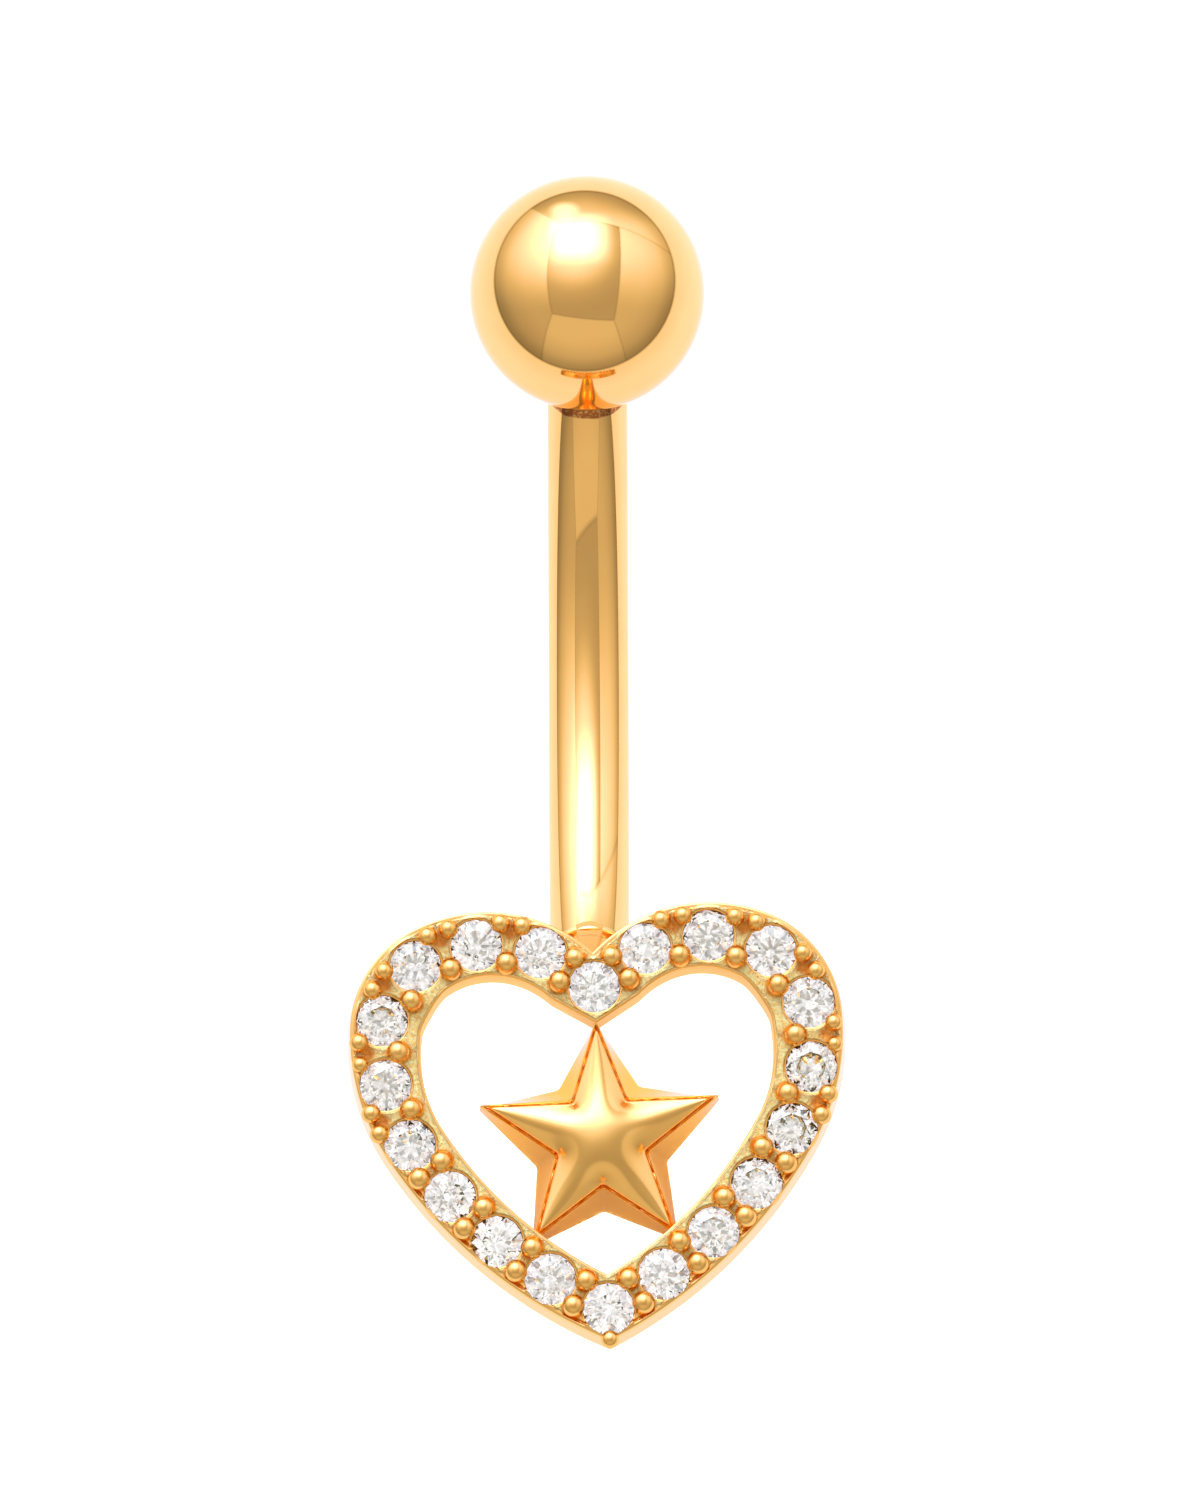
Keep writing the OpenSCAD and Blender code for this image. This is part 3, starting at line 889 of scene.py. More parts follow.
@dataclass(frozen=True)
class ProngBeads:
    """The beads that hold the stones: round heads on short posts, the inner ones drawn out a little."""

    row: StoneRow
    heart: HeartPlane
    plate_t: float
    rise: float = 0.09
    inside: float = 0.29
    outside: float = 0.27
    pair_outside: float = 0.48
    pair_half: float = 0.22
    pair_span: tuple[float, float] = (0.1, 0.6)
    tip_outside: float = 0.1
    crown_gap: float = 0.004
    box_gap: float = 0.002
    post_wall: float = 0.02
    post_depth: float = 0.3
    post_share: float = 0.8
    head_turn: float = 118.0
    tail: float = 0.04
    outer_tail: float = 0.3
    tail_span: tuple[float, float] = (-0.8, 0.45)
    # painted shade: how much each bead darkens towards its post, and over which share of its height
    tone: float = 0.75
    tone_span: tuple[float, float] = (0.15, -0.75)
    sides: int = 28

    @property
    def paired(self) -> Array:
        """Finds the gaps between stones whose outer beads stand in a pair.

        Returns:
            True or False for each gap, clockwise from the cleft.
        """
        gaps = len(self.row.centres)
        place = np.minimum(np.arange(gaps), gaps - 1 - np.arange(gaps)) + 0.5
        share = place / (gaps / 2)
        return (share > self.pair_span[0]) & (share < self.pair_span[1])

    @property
    def inner(self) -> Array:
        """Places of the beads on the opening's side."""
        return self.row.middles - self.inside * self.row.outward

    def places(self) -> tuple[Array, Array]:
        """Works out every bead.

        Returns:
            The beads' places, and the direction and length that each is drawn out by.
        """
        row, paired = self.row, self.paired
        single = (row.middles + self.outside * row.outward)[~paired]
        pair_middle = (row.middles + self.pair_outside * row.outward)[paired]
        shift = self.pair_half * row.along[paired]
        low = row.centres[len(row.centres) // 2]
        tip = low - [0, row.radius + self.crown_gap + self.tip_outside]
        groups = [self.inner, single, pair_middle - shift, pair_middle + shift, tip[None]]
        tail = self.outer_tail * self.tail
        tails = [-self.tail * row.outward, tail * row.outward[~paired]]
        tails += [tail * row.outward[paired]] * 2 + [np.zeros((1, 2))]
        return np.concatenate(groups), np.concatenate(tails)

    def head_r(self, places: Array) -> Array:
        """Finds the radius of each head.

        A head touches the crown of the nearest stone, the distance to its sloping line being
        reach sin(slope) + height cos(slope), but it stays inside the CAD box.

        Args:
            places: The beads' places on the heart.

        Returns:
            The radii.
        """
        slope = np.radians(self.row.crown_slope)
        reach = self.row.nearest(places) - self.row.radius
        touching = reach * np.sin(slope) + (self.rise + self.row.sink) * np.cos(slope) - self.crown_gap
        centres = self.heart.world(lift(places, self.plate_t + self.rise)) / MM
        low, high = (np.array(corner) / MM for corner in cad_box)
        room = np.minimum(high - centres, centres - low).min(axis=1)
        return np.minimum(touching, room - self.box_gap)

    def skin(self) -> Skin:
        """Turns a round head that narrows to a post, and draws its lower side out along its tail.

        Returns:
            All the beads as one surface.
        """
        places, tails = self.places()
        radius = self.head_r(places)[:, None]
        room = self.row.nearest(places) - self.row.seat_r - self.post_wall
        post = np.minimum(room, self.post_share * radius[:, 0])[:, None]
        polar_angle = np.radians(np.linspace(0, self.head_turn, 15))
        head = np.stack([radius * np.sin(polar_angle), radius * np.cos(polar_angle)], axis=-1)
        way = np.array([0.25, 0.5, 0.75, 1.0, 1.0])
        start, end = head[:, -1:, 0], head[:, -1:, 1]
        depth = -self.rise - self.post_depth
        width = start + (post - start) * smooth(0, 1, way)
        foot = np.stack([width, end + (depth - end) * way ** 1.5], axis=-1)
        foot[:, -1, 0] = 0
        profile = np.concatenate([head, foot], axis=1)
        turn = full_turn(self.sides)
        ring = polar(np.ones_like(turn), turn)
        reach = profile[..., 0]
        flat = reach[..., None, None] * ring
        side = np.clip(np.einsum("kc,bc->bk", ring, unit(tails + 1e-9)), 0, 1)
        low = 1 - smooth(*self.tail_span, profile[..., 1] / radius)
        share = np.minimum(reach / radius, 1)
        drawn = (low * share)[..., None] * side[:, None] ** 1.5
        flat = flat + drawn[..., None] * tails[:, None, None, :]
        height = self.plate_t + self.rise + profile[..., 1]
        points = lift(flat + places[:, None, None, :], np.broadcast_to(height[..., None], flat.shape[:-1]))
        # painted shade: each bead turns deeper orange from just above the middle of its head down to its
        # post
        shade = smooth(*self.tone_span, profile[..., 1] / radius)[..., None] * np.ones(self.sides)
        return Skin.grid(points, {"crevice": self.tone * shade})


@dataclass(frozen=True)
class HeartBand:
    """The open heart: a drilled seat with an open back for each stone, pits and bright cuts.

    The bright cuts lie `cut_out` outwards and `cut_down` down from the middle between two stones. The pairs
    for the seats and the beads are the strength and the width of the painted shade round them; `foot_pit` is
    the shares of radius and depth of the inner pits.
    """

    outline: HeartOutline
    row: StoneRow
    prongs: ProngBeads
    plate_t: float
    wall_draft: float = 0.08
    inner_draft: float = 0.02
    bevel: float = 0.045
    bevel_drop: float = 0.75
    box_gap: float = 0.005
    rim_w: float = 0.05
    rim_fade: float = 0.04
    inner_rim_w: float = 0.012
    inner_rim_fade: float = 0.03
    field_sink: float = 0.035
    lip: float = 0.03
    lip_w: float = 0.045
    pit_r: float = 0.12
    pit_depth: float = 0.09
    pit_out: float = 0.30
    pit_in: float = 0.22
    pit_room: tuple[float, float] = (0.02, 0.3)
    foot_pit: tuple[float, float] = (0.9, 0.75)
    cut_out: float = 0.47
    cut_down: float = 0.13
    cut_half: tuple[float, float] = (0.24, 0.13)
    cut_edge: tuple[float, float] = (0.85, 1.05)
    cut_depth: float = 0.045
    # painted shade along the rims of the bright cuts, round the seats and round the beads
    cut_fold: float = 2.0
    seat_fold: tuple[float, float] = (0.5, 0.012)
    bead_fold: tuple[float, float] = (0.8, 0.07)
    seat_gap: float = 0.002
    azure_h: float = 0.25
    azure_edge: float = 0.03
    face_shares: tuple[float, ...] = (
        1.0, 0.94, 0.87, 0.8, 0.73, 0.66, 0.58, 0.5, 0.42, 0.34, 0.26, 0.19, 0.13, 0.08, 0.04, 0.0,
    )
    back_shares: tuple[float, ...] = (0.15, 0.4, 0.7, 1.0)
    wall_shares: tuple[float, ...] = (0.35, 0.7, 0.96, 1.0)
    # painted shade down the stones' holes
    hole_tone: float = 0.55
    # painted shade on the inner wall
    wall_tone: float = 0.9
    outer_cuts: int = 40
    inner_cuts: int = 28
    middle_cuts: int = 24

    def sides(self, line: Callable[[Array], Array], parts: Array, cuts: int) -> Array:
        """Cuts a closed line round the heart into the stones' stretches.

        Args:
            line: Gives points of the right half by their part of the way down.
            parts: Where the right half passes from one stone to the next.
            cuts: Steps on each stretch.

        Returns:
            Points shaped (stones, cuts + 1, 2), clockwise from the stone at the cleft.
        """
        mirror = np.array([-1, 1])
        right = line(np.linspace(parts[:-1], parts[1:], cuts + 1, axis=1))
        top = line(np.linspace(0, parts[0], cuts // 2 + 1))
        low = line(np.linspace(parts[-1], 1, cuts // 2 + 1))
        first = np.concatenate([top[:0:-1] * mirror, top])
        last = np.concatenate([low, low[-2::-1] * mirror])
        return np.concatenate([first[None], right, last[None], right[::-1, ::-1] * mirror])

    @property
    def middle_angles(self) -> Array:
        """Angles of the outline's normal half-way between the stones of the right half."""
        return self.outline.locate(self.row.middles[: len(self.row.centres) // 2])[0]

    def outer_sides(self, inset: float) -> Array:
        """Cuts the outer side where its normal passes between stones.

        Args:
            inset: How far inside the outline.

        Returns:
            The stones' stretches.
        """
        top, tip = self.outline.top_angle(self.bevel), self.outline.tip_angle(self.bevel)
        parts = (self.middle_angles - top) / (tip - top)
        return self.sides(lambda part: self.outline.outer(part, inset), parts, self.outer_cuts)

    def inner_sides(self, back: float) -> Array:
        """Cuts the inner side where its normal passes between stones.

        Args:
            back: How far inside the metal.

        Returns:
            The stones' stretches.
        """
        top = self.outline.top_angle(0) + self.outline.web_turn
        tip = self.outline.tip_angle(self.outline.point_band - self.bevel - self.inner_draft)
        parts = (self.middle_angles - top) / (tip - top)
        return self.sides(lambda part: self.outline.inner(part, back), parts, self.inner_cuts)

    def cell_loops(self, inset: float, back: float) -> Array:
        """Closes each stone's stretches with straight lines half-way to its neighbours.

        Args:
            inset: Place of the outer side.
            back: Place of the inner side.

        Returns:
            Points shaped (stones, points of a loop, 2), clockwise.
        """
        outer, inner = self.outer_sides(inset), self.inner_sides(back)
        way = np.linspace(0, 1, self.middle_cuts, endpoint=False)[:, None]
        down = outer[:, -1:] + (inner[:, -1:] - outer[:, -1:]) * way
        up = inner[:, :1] + (outer[:, :1] - inner[:, :1]) * way
        return np.concatenate([outer[:, :-1], down, inner[:, :0:-1], up], axis=1)

    def pits(self) -> tuple[Array, Array, Array]:
        """Finds the pits left by the graver.

        There is one between the beads of each pair, and one at the foot of each inner bead where the band is
        wide.

        Returns:
            Their places, radii and depths.
        """
        paired = self.prongs.paired
        between = (self.row.middles + self.pit_out * self.row.outward)[paired]
        feet = self.row.middles - (self.prongs.inside + self.pit_in) * self.row.outward
        room = smooth(*self.pit_room, self.outline.locate(feet)[2] - self.bevel - self.inner_draft)
        places = np.concatenate([between, feet])
        share, deep = self.foot_pit
        radii = np.concatenate([np.full(len(between), self.pit_r), np.full(len(feet), share * self.pit_r)])
        depths = self.pit_depth * np.concatenate([np.ones(len(between)), deep * room])
        return places, radii, depths

    def bright_cuts(self, points: Array) -> Array:
        """Finds the share of a flat cut at points: a four-sided patch outside each single outer bead.

        Args:
            points: Points of the face, shaped (n, 2).

        Returns:
            1 on a cut, 0 off it.
        """
        single = ~self.prongs.paired
        single[[0, -1]] = False
        along, outward = self.row.along[single], self.row.outward[single]
        down = np.where(along[:, 1] < 0, 1.0, -1.0)[:, None]
        centre = self.row.middles[single] + self.cut_out * outward + self.cut_down * down * along
        gap = points[:, None] - centre
        u = np.abs(np.einsum("nkc,kc->nk", gap, along))
        v = np.abs(np.einsum("nkc,kc->nk", gap, outward))
        reach = np.maximum(u / self.cut_half[0], v / self.cut_half[1])
        return (1 - smooth(*self.cut_edge, reach)).max(axis=1)

    def relief(self, points: Array) -> tuple[Array, dict[str, Array]]:
        """Works out the height of the face over its plane, and what its finish needs.

        The field sinks a little inside the two rims, rises in a lip round each seat, and dips in a bell
        shape at each pit. Everything fades to 0 at the edges.

        Args:
            points: Points of the face, shaped (n, 2).

        Returns:
            The heights, and the marks by name.
        """
        _, outer, inner = self.outline.locate(points)
        outer = outer - self.bevel
        inner = inner - self.bevel - self.inner_draft
        rim = np.minimum(outer, inner)
        gaps = points[:, None] - self.row.centres
        reach = np.linalg.norm(gaps, axis=-1)
        nearest = np.argmin(reach, axis=1)
        around = reach.min(axis=1) - self.row.seat_r
        sink = smooth(self.rim_w, self.rim_w + self.rim_fade, outer)
        sink = sink * smooth(self.inner_rim_w, self.inner_rim_w + self.inner_rim_fade, inner)
        lip = np.exp(-((around / self.lip_w) ** 2))
        places, radii, depths = self.pits()
        bells = np.exp(-((np.linalg.norm(points[:, None] - places, axis=-1) / radii) ** 2))
        cut = self.bright_cuts(points) * smooth(0.0, 0.03, outer)
        edge = smooth(0.0, 0.05, rim)
        height = -self.field_sink * sink + self.lip * lip - self.cut_depth * cut
        height = edge * (height - (bells * depths).max(axis=1) * (1 - 0.7 * lip))
        ray = gaps[np.arange(len(points)), nearest] / reach.min(axis=1)[:, None]
        # painted shade: deep orange in the pits, in a thin ring round each seat, round the foot of each bead
        # and along the rims of the bright cuts
        deep = (bells * depths / self.pit_depth).max(axis=1)
        beads = self.prongs.places()[0]
        to_bead = np.linalg.norm(points[:, None] - beads, axis=-1) - self.prongs.head_r(beads)
        fold_shade = deep + self.seat_fold[0] * np.exp(-around / self.seat_fold[1])
        fold_shade = fold_shade + self.bead_fold[0] * smooth(self.bead_fold[1], 0.0, to_bead.min(axis=1))
        fold_shade = fold_shade + self.cut_fold * cut * (1 - cut)
        marks = {
            "crevice": np.clip(fold_shade, 0, 1) * edge,
            "rough": sink * (1 - cut) * smooth(0.0, 0.04, around) * (1 - 0.6 * deep),
            "ray": lift(ray, around),
        }
        return height, marks

    def face_rows(self) -> tuple[Array, dict[str, Array]]:
        """Builds the rows of every stone's cell: in over the face, down the hole and out over the back.

        Each row is a loop round the stone. On the face and the back it goes from the round hole to the
        cell's own outline in shares; in the hole it is a circle whose radius and height follow the profile.

        Returns:
            Points shaped (stones, rows, columns, 3), and their marks.
        """
        front = self.cell_loops(self.bevel, self.bevel + self.inner_draft)
        centre = self.row.centres[:, None]
        ray = unit(front - centre)
        seat_top = centre + (self.row.radius + self.seat_gap) * ray
        shares = np.array(self.face_shares)
        face = seat_top[:, None] + shares[:, None, None] * (front - seat_top)[:, None]
        height, marks = self.relief(face.reshape(-1, 2))
        face = lift(face, self.plate_t + height.reshape(face.shape[:-1]))
        low = self.plate_t - self.row.sink - self.row.girdle - self.row.gap
        azure = self.row.azure_d / 2
        cone = np.linspace(self.row.seat_r, azure, 4)
        fall = low - (self.row.seat_r - cone) * np.tan(np.radians(self.row.pavilion_slope))
        profile = [(self.row.seat_r, self.plate_t - self.row.sink), (self.row.seat_r, low + 0.02)]
        profile += list(zip(cone, fall))
        profile += [(azure, self.azure_h), (azure, self.azure_edge), (azure + self.azure_edge, 0.0)]
        hole = np.stack([lift(centre + r * ray, z) for r, z in profile], axis=1)
        back = self.cell_loops(self.box_gap - self.wall_draft, 0.0)
        rim = centre + (azure + self.azure_edge) * ray
        out = rim[:, None] + np.array(self.back_shares)[:, None, None] * (back - rim)[:, None]
        points = np.concatenate([face, hole, lift(out, 0.0)], axis=1)
        rest = points.shape[1] - len(shares)
        full = {}
        for name, values in marks.items():
            tail = values.shape[1:]
            values = values.reshape(face.shape[:-1] + tail)
            blank = np.zeros(values.shape[:1] + (rest,) + values.shape[2:])
            full[name] = np.concatenate([values, blank], axis=1)
        # painted shade down each stone's hole, from the seat to the bottom of its cone
        full["crevice"][:, len(shares): len(shares) + len(profile) - 2] = self.hole_tone
        return points, full

    def walls(self) -> Skin:
        """Builds the outer and inner walls, each with a rounded upper edge.

        Each wall is rows of closed lines parallel to the outline. The edge turns through a quarter round
        whose inset and drop are 1 - sin and 1 - cos of the turn, times the bevel. From the foot of the edge
        down, the inner wall is painted brown with shade; the lowest row is shared with the back, so it has
        the back's painted shade, which is none.

        Returns:
            Both walls.
        """
        turn = np.radians(np.linspace(0, 90, 6))
        inset = self.bevel * (1 - np.sin(turn))
        drop = self.bevel_drop * self.bevel * (1 - np.cos(turn))
        foot = np.array(self.wall_shares)
        low = self.plate_t - drop[-1]
        heights = np.concatenate([self.plate_t - drop, low * (1 - foot)])
        outer = np.concatenate([inset, self.box_gap - self.wall_draft * foot])
        inner = np.concatenate([self.inner_draft + inset, self.inner_draft * (1 - foot)])
        outer_rows = [lift(self.outer_sides(i)[:, :-1].reshape(-1, 2), z) for i, z in zip(outer, heights)]
        inner_rows = [lift(self.inner_sides(i)[:, :-1].reshape(-1, 2), z) for i, z in zip(inner, heights)]
        # painted shade: the inner wall is brown below its rounded edge, except the row it shares with the
        # back
        tone = np.concatenate([np.zeros(len(turn) - 1), np.full(len(foot), self.wall_tone), [0.0]])
        shade = np.broadcast_to(tone[:, None], (len(tone), len(inner_rows[0])))
        inner_wall = Skin.grid(np.array(inner_rows), {"brown": shade})
        return Skin.grid(np.array(outer_rows)).joined(inner_wall)

    def skin(self) -> Skin:
        """Joins the stones' cells and the walls.

        Returns:
            The whole band.
        """
        points, marks = self.face_rows()
        return Skin.grid(points, marks).joined(self.walls())


@dataclass(frozen=True)
class Star:
    """A five-pointed star: flared sides, a wavy groove inside the rim and a puffed dome with soft ridges."""

    centre_y: float = -1.42
    tips: tuple[float, ...] = (2.43, 2.54, 2.48, 2.48, 2.55)
    foot_corner: float = 1.37
    rim_corner: float = 0.98
    rim_z: float = 0.95
    dome_z: float = 1.11
    dome_h: float = 0.35
    dome_offset: float = 0.088
    groove: tuple[tuple[float, ...], ...] = (
        (0.012, 0.004, 0.0, 0.0, 0.0),
        (0.024, -0.002, 0.005, 0.003, 0.2),
        (0.034, -0.022, 0.008, 0.014, 0.5),
        (0.044, -0.024, 0.006, 0.018, 0.5),
        (0.054, -0.004, 0.006, 0.012, 0.3),
        (0.062, 0.034, 0.004, 0.006, 0.1),
        (0.068, 0.080, 0.002, 0.002, 0.0),
        (0.076, 0.130, 0.0, 0.0, 0.0),
    )
    back_shares: tuple[float, ...] = (0.0, 0.5, 1.0)
    side_shares: tuple[float, ...] = (0.0, 0.15, 0.3, 0.45, 0.6, 0.75, 0.88, 0.975)
    hem_shares: tuple[float, ...] = (0.008, 0.02, 0.035, 0.05, 0.07)
    foot_reach: float = 0.01
    foot_rounding: float = 0.04
    rim_rounding: float = 0.05
    dome_rounding: float = 0.025
    puff: tuple[float, float] = (0.66, 0.34)
    # painted shade on the flared sides that face down
    side_tone: float = 0.12
    brown_span: tuple[float, float] = (0.2, 0.75)
    edge_cuts: int = 24
    corner_cuts: int = 17

    @staticmethod
    def corners(tips: Array, corner: float) -> Array:
        """The ten corners, clockwise from the top: the tips, and the inner corners between them."""
        reach = np.stack([tips, np.full(5, corner)], axis=1).ravel()
        return polar(reach, np.radians(90 - 36 * np.arange(10)))

    def ring(self, tips: Array, corner: float, rounding: float) -> Array:
        """Draws one closed line round the star.

        Its ten corners lie at the tips and the inner corners. Each corner is a short curve, whose points are
        shares (1 - t)^2, 2t(1 - t) and t^2 of a point on the edge before it, the corner, and a point on the
        edge after it.

        Args:
            tips: Radii of the five tips.
            corner: Radius of the inner corners.
            rounding: Share of each edge that a corner's curve takes.

        Returns:
            Points shaped (n, 2), clockwise from the top point.
        """
        corners = self.corners(tips, corner)
        before = corners + rounding * (np.roll(corners, 1, axis=0) - corners)
        after = corners + rounding * (np.roll(corners, -1, axis=0) - corners)
        t = np.linspace(0, 1, self.corner_cuts)[:, None]
        curve = (1 - t) ** 2 * before[:, None] + 2 * t * (1 - t) * corners[:, None] + t ** 2 * after[:, None]
        following = np.roll(before, -1, axis=0)
        way = np.linspace(0, 1, self.edge_cuts + 2)[1:-1, None]
        edge = after[:, None] + way * (following - after)[:, None]
        return np.concatenate([curve, edge], axis=1).reshape(-1, 2)

    def moved_in(self, offset: float) -> tuple[Array, float]:
        """Moves every edge of the rim in.

        Args:
            offset: By how much.

        Returns:
            Radii of the tips, and of the inner corners.
        """
        tips = np.array(self.tips)
        half = np.radians(36)
        lean = np.arctan2(self.rim_corner * np.sin(half), tips - self.rim_corner * np.cos(half))
        corner = self.rim_corner - offset / np.sin(half + lean.mean())
        return tips - offset / np.sin(lean), corner

    def dome_height(self, points: Array) -> Array:
        """Works out the height of the dome, which is as a skin blown up inside the star's edge.

        Looking round from a point, the mean of 1 / (distance to the edge) is the sum over the edge's ten
        sides of tan(half the angle that the side fills) times (1/r + 1/r'), with r and r' the distances to
        its two ends. With t the inverse of that sum, as a share of its value in the middle, the height is in
        proportion to a t + b t^2, with `puff` as (a, b): 0 at the edge, and smooth everywhere inside.

        Args:
            points: Points of the plane, shaped (..., 2).

        Returns:
            Heights over the dome's edge.
        """
        corners = self.corners(*self.moved_in(self.dome_offset))

        def openness(places: Array) -> Array:
            """Works out the inverse of the sum over the sides.

            Args:
                places: Points of the plane, shaped (..., 2).

            Returns:
                One value for each point, 0 outside the edge.
            """
            start = corners - places[..., None, :]
            end = np.roll(start, -1, axis=-2)
            r, r_end = np.linalg.norm(start, axis=-1), np.linalg.norm(end, axis=-1)
            turn = start[..., 1] * end[..., 0] - start[..., 0] * end[..., 1]
            span = np.maximum(r * r_end + (start * end).sum(axis=-1), 1e-7)
            total = (turn / span * (1 / np.maximum(r, 1e-7) + 1 / np.maximum(r_end, 1e-7))).sum(axis=-1)
            return np.where(total > 0, 1 / np.maximum(total, 1e-7), 0.0)

        t = np.clip(openness(points) / openness(np.zeros(2)), 0, 1)
        return self.dome_h * t * (self.puff[0] + self.puff[1] * t)

    def wave(self, start: int) -> Array:
        """Makes an uneven wave round the star, a sum of four sines whose counts share no factor.

        Args:
            start: What the counts are raised by, so that another number gives another wave.

        Returns:
            Values between about -1 and 1.
        """
        turn = full_turn(10 * (self.edge_cuts + self.corner_cuts))
        counts = np.array([29, 47, 71, 97]) + start
        phases = np.array([0.3, 1.9, 4.1, 2.2]) * (1 + start)
        return np.sin(counts[:, None] * turn + phases[:, None]).sum(axis=0) / 2.6

    def skin(self) -> Skin:
        """Builds the rows from the flat back up the flared sides, over the groove and in over the dome.

        A row of the groove says how far in it lies, its height over the rim, how far it sways and heaves
        with the two waves, and the strength of the painted shade in it. The flared sides get painted shade,
        deeper orange and browner, where they face down.

        Returns:
            The star's surface.
        """
        tips = np.array(self.tips)
        foot = self.ring(tips + self.foot_reach, self.foot_corner, self.foot_rounding)
        rim = self.ring(tips, self.rim_corner, self.rim_rounding)
        low_side = 0.5 - 0.5 * unit(foot)[:, 1]
        plain = np.zeros(len(foot))
        rows = [lift(foot * share, 0.0) for share in self.back_shares]
        shades = [plain] * len(rows)
        for share in self.side_shares:
            rows.append(lift(foot + (rim - foot) * share, self.rim_z * share))
            # painted shade: sides that face down are deeper orange
            shades.append(self.side_tone * low_side)
        sides = slice(len(self.back_shares), len(rows))
        wave, other = self.wave(0), self.wave(6)
        # painted shade in the groove, strongest at its bottom
        for offset, z, sway, heave, shade in self.groove:
            line = self.ring(*self.moved_in(offset), self.rim_rounding)
            rows.append(lift(line - (sway * wave)[:, None] * unit(line), self.rim_z + z + heave * other))
            shades.append(np.clip(shade * (1 + 0.5 * wave), 0, 1))
        edge = self.ring(*self.moved_in(self.dome_offset), self.dome_rounding)
        rows.append(lift(edge, self.dome_z))
        for share in 1 - np.concatenate([self.hem_shares, np.linspace(0.095, 1, 40)]):
            rows.append(lift(edge * share, self.dome_z + self.dome_height(edge * share)))
        shades += [plain] * (len(rows) - len(shades))
        points = np.array(rows) + [0, self.centre_y, 0]
        brown = np.zeros(points.shape[:2])
        # painted shade: sides that face down are browner
        brown[sides] = smooth(*self.brown_span, low_side)
        return Skin.grid(points, {"crevice": np.array(shades), "brown": brown})


@dataclass(frozen=True)
class CurvedBar:
    """The bent bar with crisp ends and its threaded upper end.

    `thread_rise` is how far past the bar's end the ridges start, and are whole; `thread_fall` is how far
    short of the stud's tip they start to fade, and end.
    """

    upright: Upright
    diameter: float = 1.63
    chamfer: float = 0.03
    stud_d: float = 1.2
    stud_len: float = 2.6
    stud_chamfer: float = 0.15
    pitch: float = 0.25
    ridge: float = 0.07
    thread_rise: tuple[float, float] = (0.12, 0.4)
    thread_fall: tuple[float, float] = (0.35, 0.1)
    stain_depth: float = 0.10
    stain_sag: float = 0.11
    stain_lap: float = 0.006
    stain_fade: float = 0.03
    sides: int = 96

    @property
    def length(self) -> float:
        """Length of the bent part along its centre line."""
        return 2 * self.upright.half_bend * self.upright.bend_r

    def path(self, run: Array) -> tuple[Array, Array]:
        """Follows the bar's centre line: an arc, and then straight on along the thread.

        Args:
            run: Distances from the lower end.

        Returns:
            Points, and directions.
        """
        up = self.upright
        angle = np.clip(run, 0, self.length) / up.bend_r - up.half_bend
        beyond = np.maximum(run - self.length, 0)[:, None]
        points = up.bar_point(angle) + beyond * up.ball_axis
        return points, np.stack([np.zeros_like(angle), -np.sin(angle), np.cos(angle)], axis=-1)

    def stain(self, run: Array, turn: Array) -> Array:
        """Works out a brown band on the bar's front just under the ball.

        Its lower edge is a little wavy, by three sines of the turn, and sags in the middle.

        Args:
            run: Distances from the bar's lower end.
            turn: Angles round the bar.

        Returns:
            The band's strength, shaped (runs, turns).
        """
        end = self.length
        counts, phases = np.array([[5], [9], [16]]), np.array([[0.4], [2.0], [4.1]])
        lap = self.stain_lap * np.sin(counts * turn + phases).sum(axis=0)
        depth = self.stain_depth + self.stain_sag * smooth(-0.4, -1.0, np.sin(turn)) + lap
        stain = smooth(end - depth - self.stain_fade, end - depth, run[:, None]) * (run < end + 0.2)[:, None]
        return stain * smooth(-0.33, -0.48, np.sin(turn))

    def skin(self) -> Skin:
        """Carries a circle along the centre line, its radius following the profile and the thread's helix.

        The thread's ridge is a rounded wave of (distance / pitch - turn) that fades at both ends.

        Returns:
            The bar's surface.
        """
        radius, c = self.diameter / 2, self.chamfer
        core = self.stud_d / 2 - self.ridge
        end = self.length
        tip = end + self.stud_len
        plain = np.concatenate([np.linspace(c, end - 0.4, 120), np.linspace(end - 0.39, end - c, 30)])
        neck = [end - 0.4 * c, end, end, end + 0.01, end + 0.1]
        thread = np.linspace(end + 0.14, tip - self.stud_chamfer, 150)
        run = np.concatenate([[0, 0, 0.4 * c], plain, neck, thread, [tip, tip]])
        reach = np.concatenate(
            [
                [0, radius - c, radius - 0.3 * c],
                np.full(len(plain), radius),
                [radius - 0.3 * c, radius - c, core + 0.02, core, core],
                np.full(len(thread), core),
                [core - 0.06, 0],
            ]
        )
        turn = full_turn(self.sides)
        phase = (run[:, None] - end) / self.pitch - turn / (2 * np.pi)
        wave = (0.5 + 0.5 * np.cos(2 * np.pi * phase)) ** 0.8
        rise, fall = self.thread_rise, self.thread_fall
        fade = smooth(end + rise[0], end + rise[1], run) * (1 - smooth(tip - fall[0], tip - fall[1], run))
        reach = reach[:, None] + self.ridge * wave * fade[:, None]
        points, along = self.path(run)
        ring = ring_round(turn, np.cross(along, SIDEWAYS)[:, None])
        return Skin.grid(points[:, None] + reach[..., None] * ring, {"brown": self.stain(run, turn)})


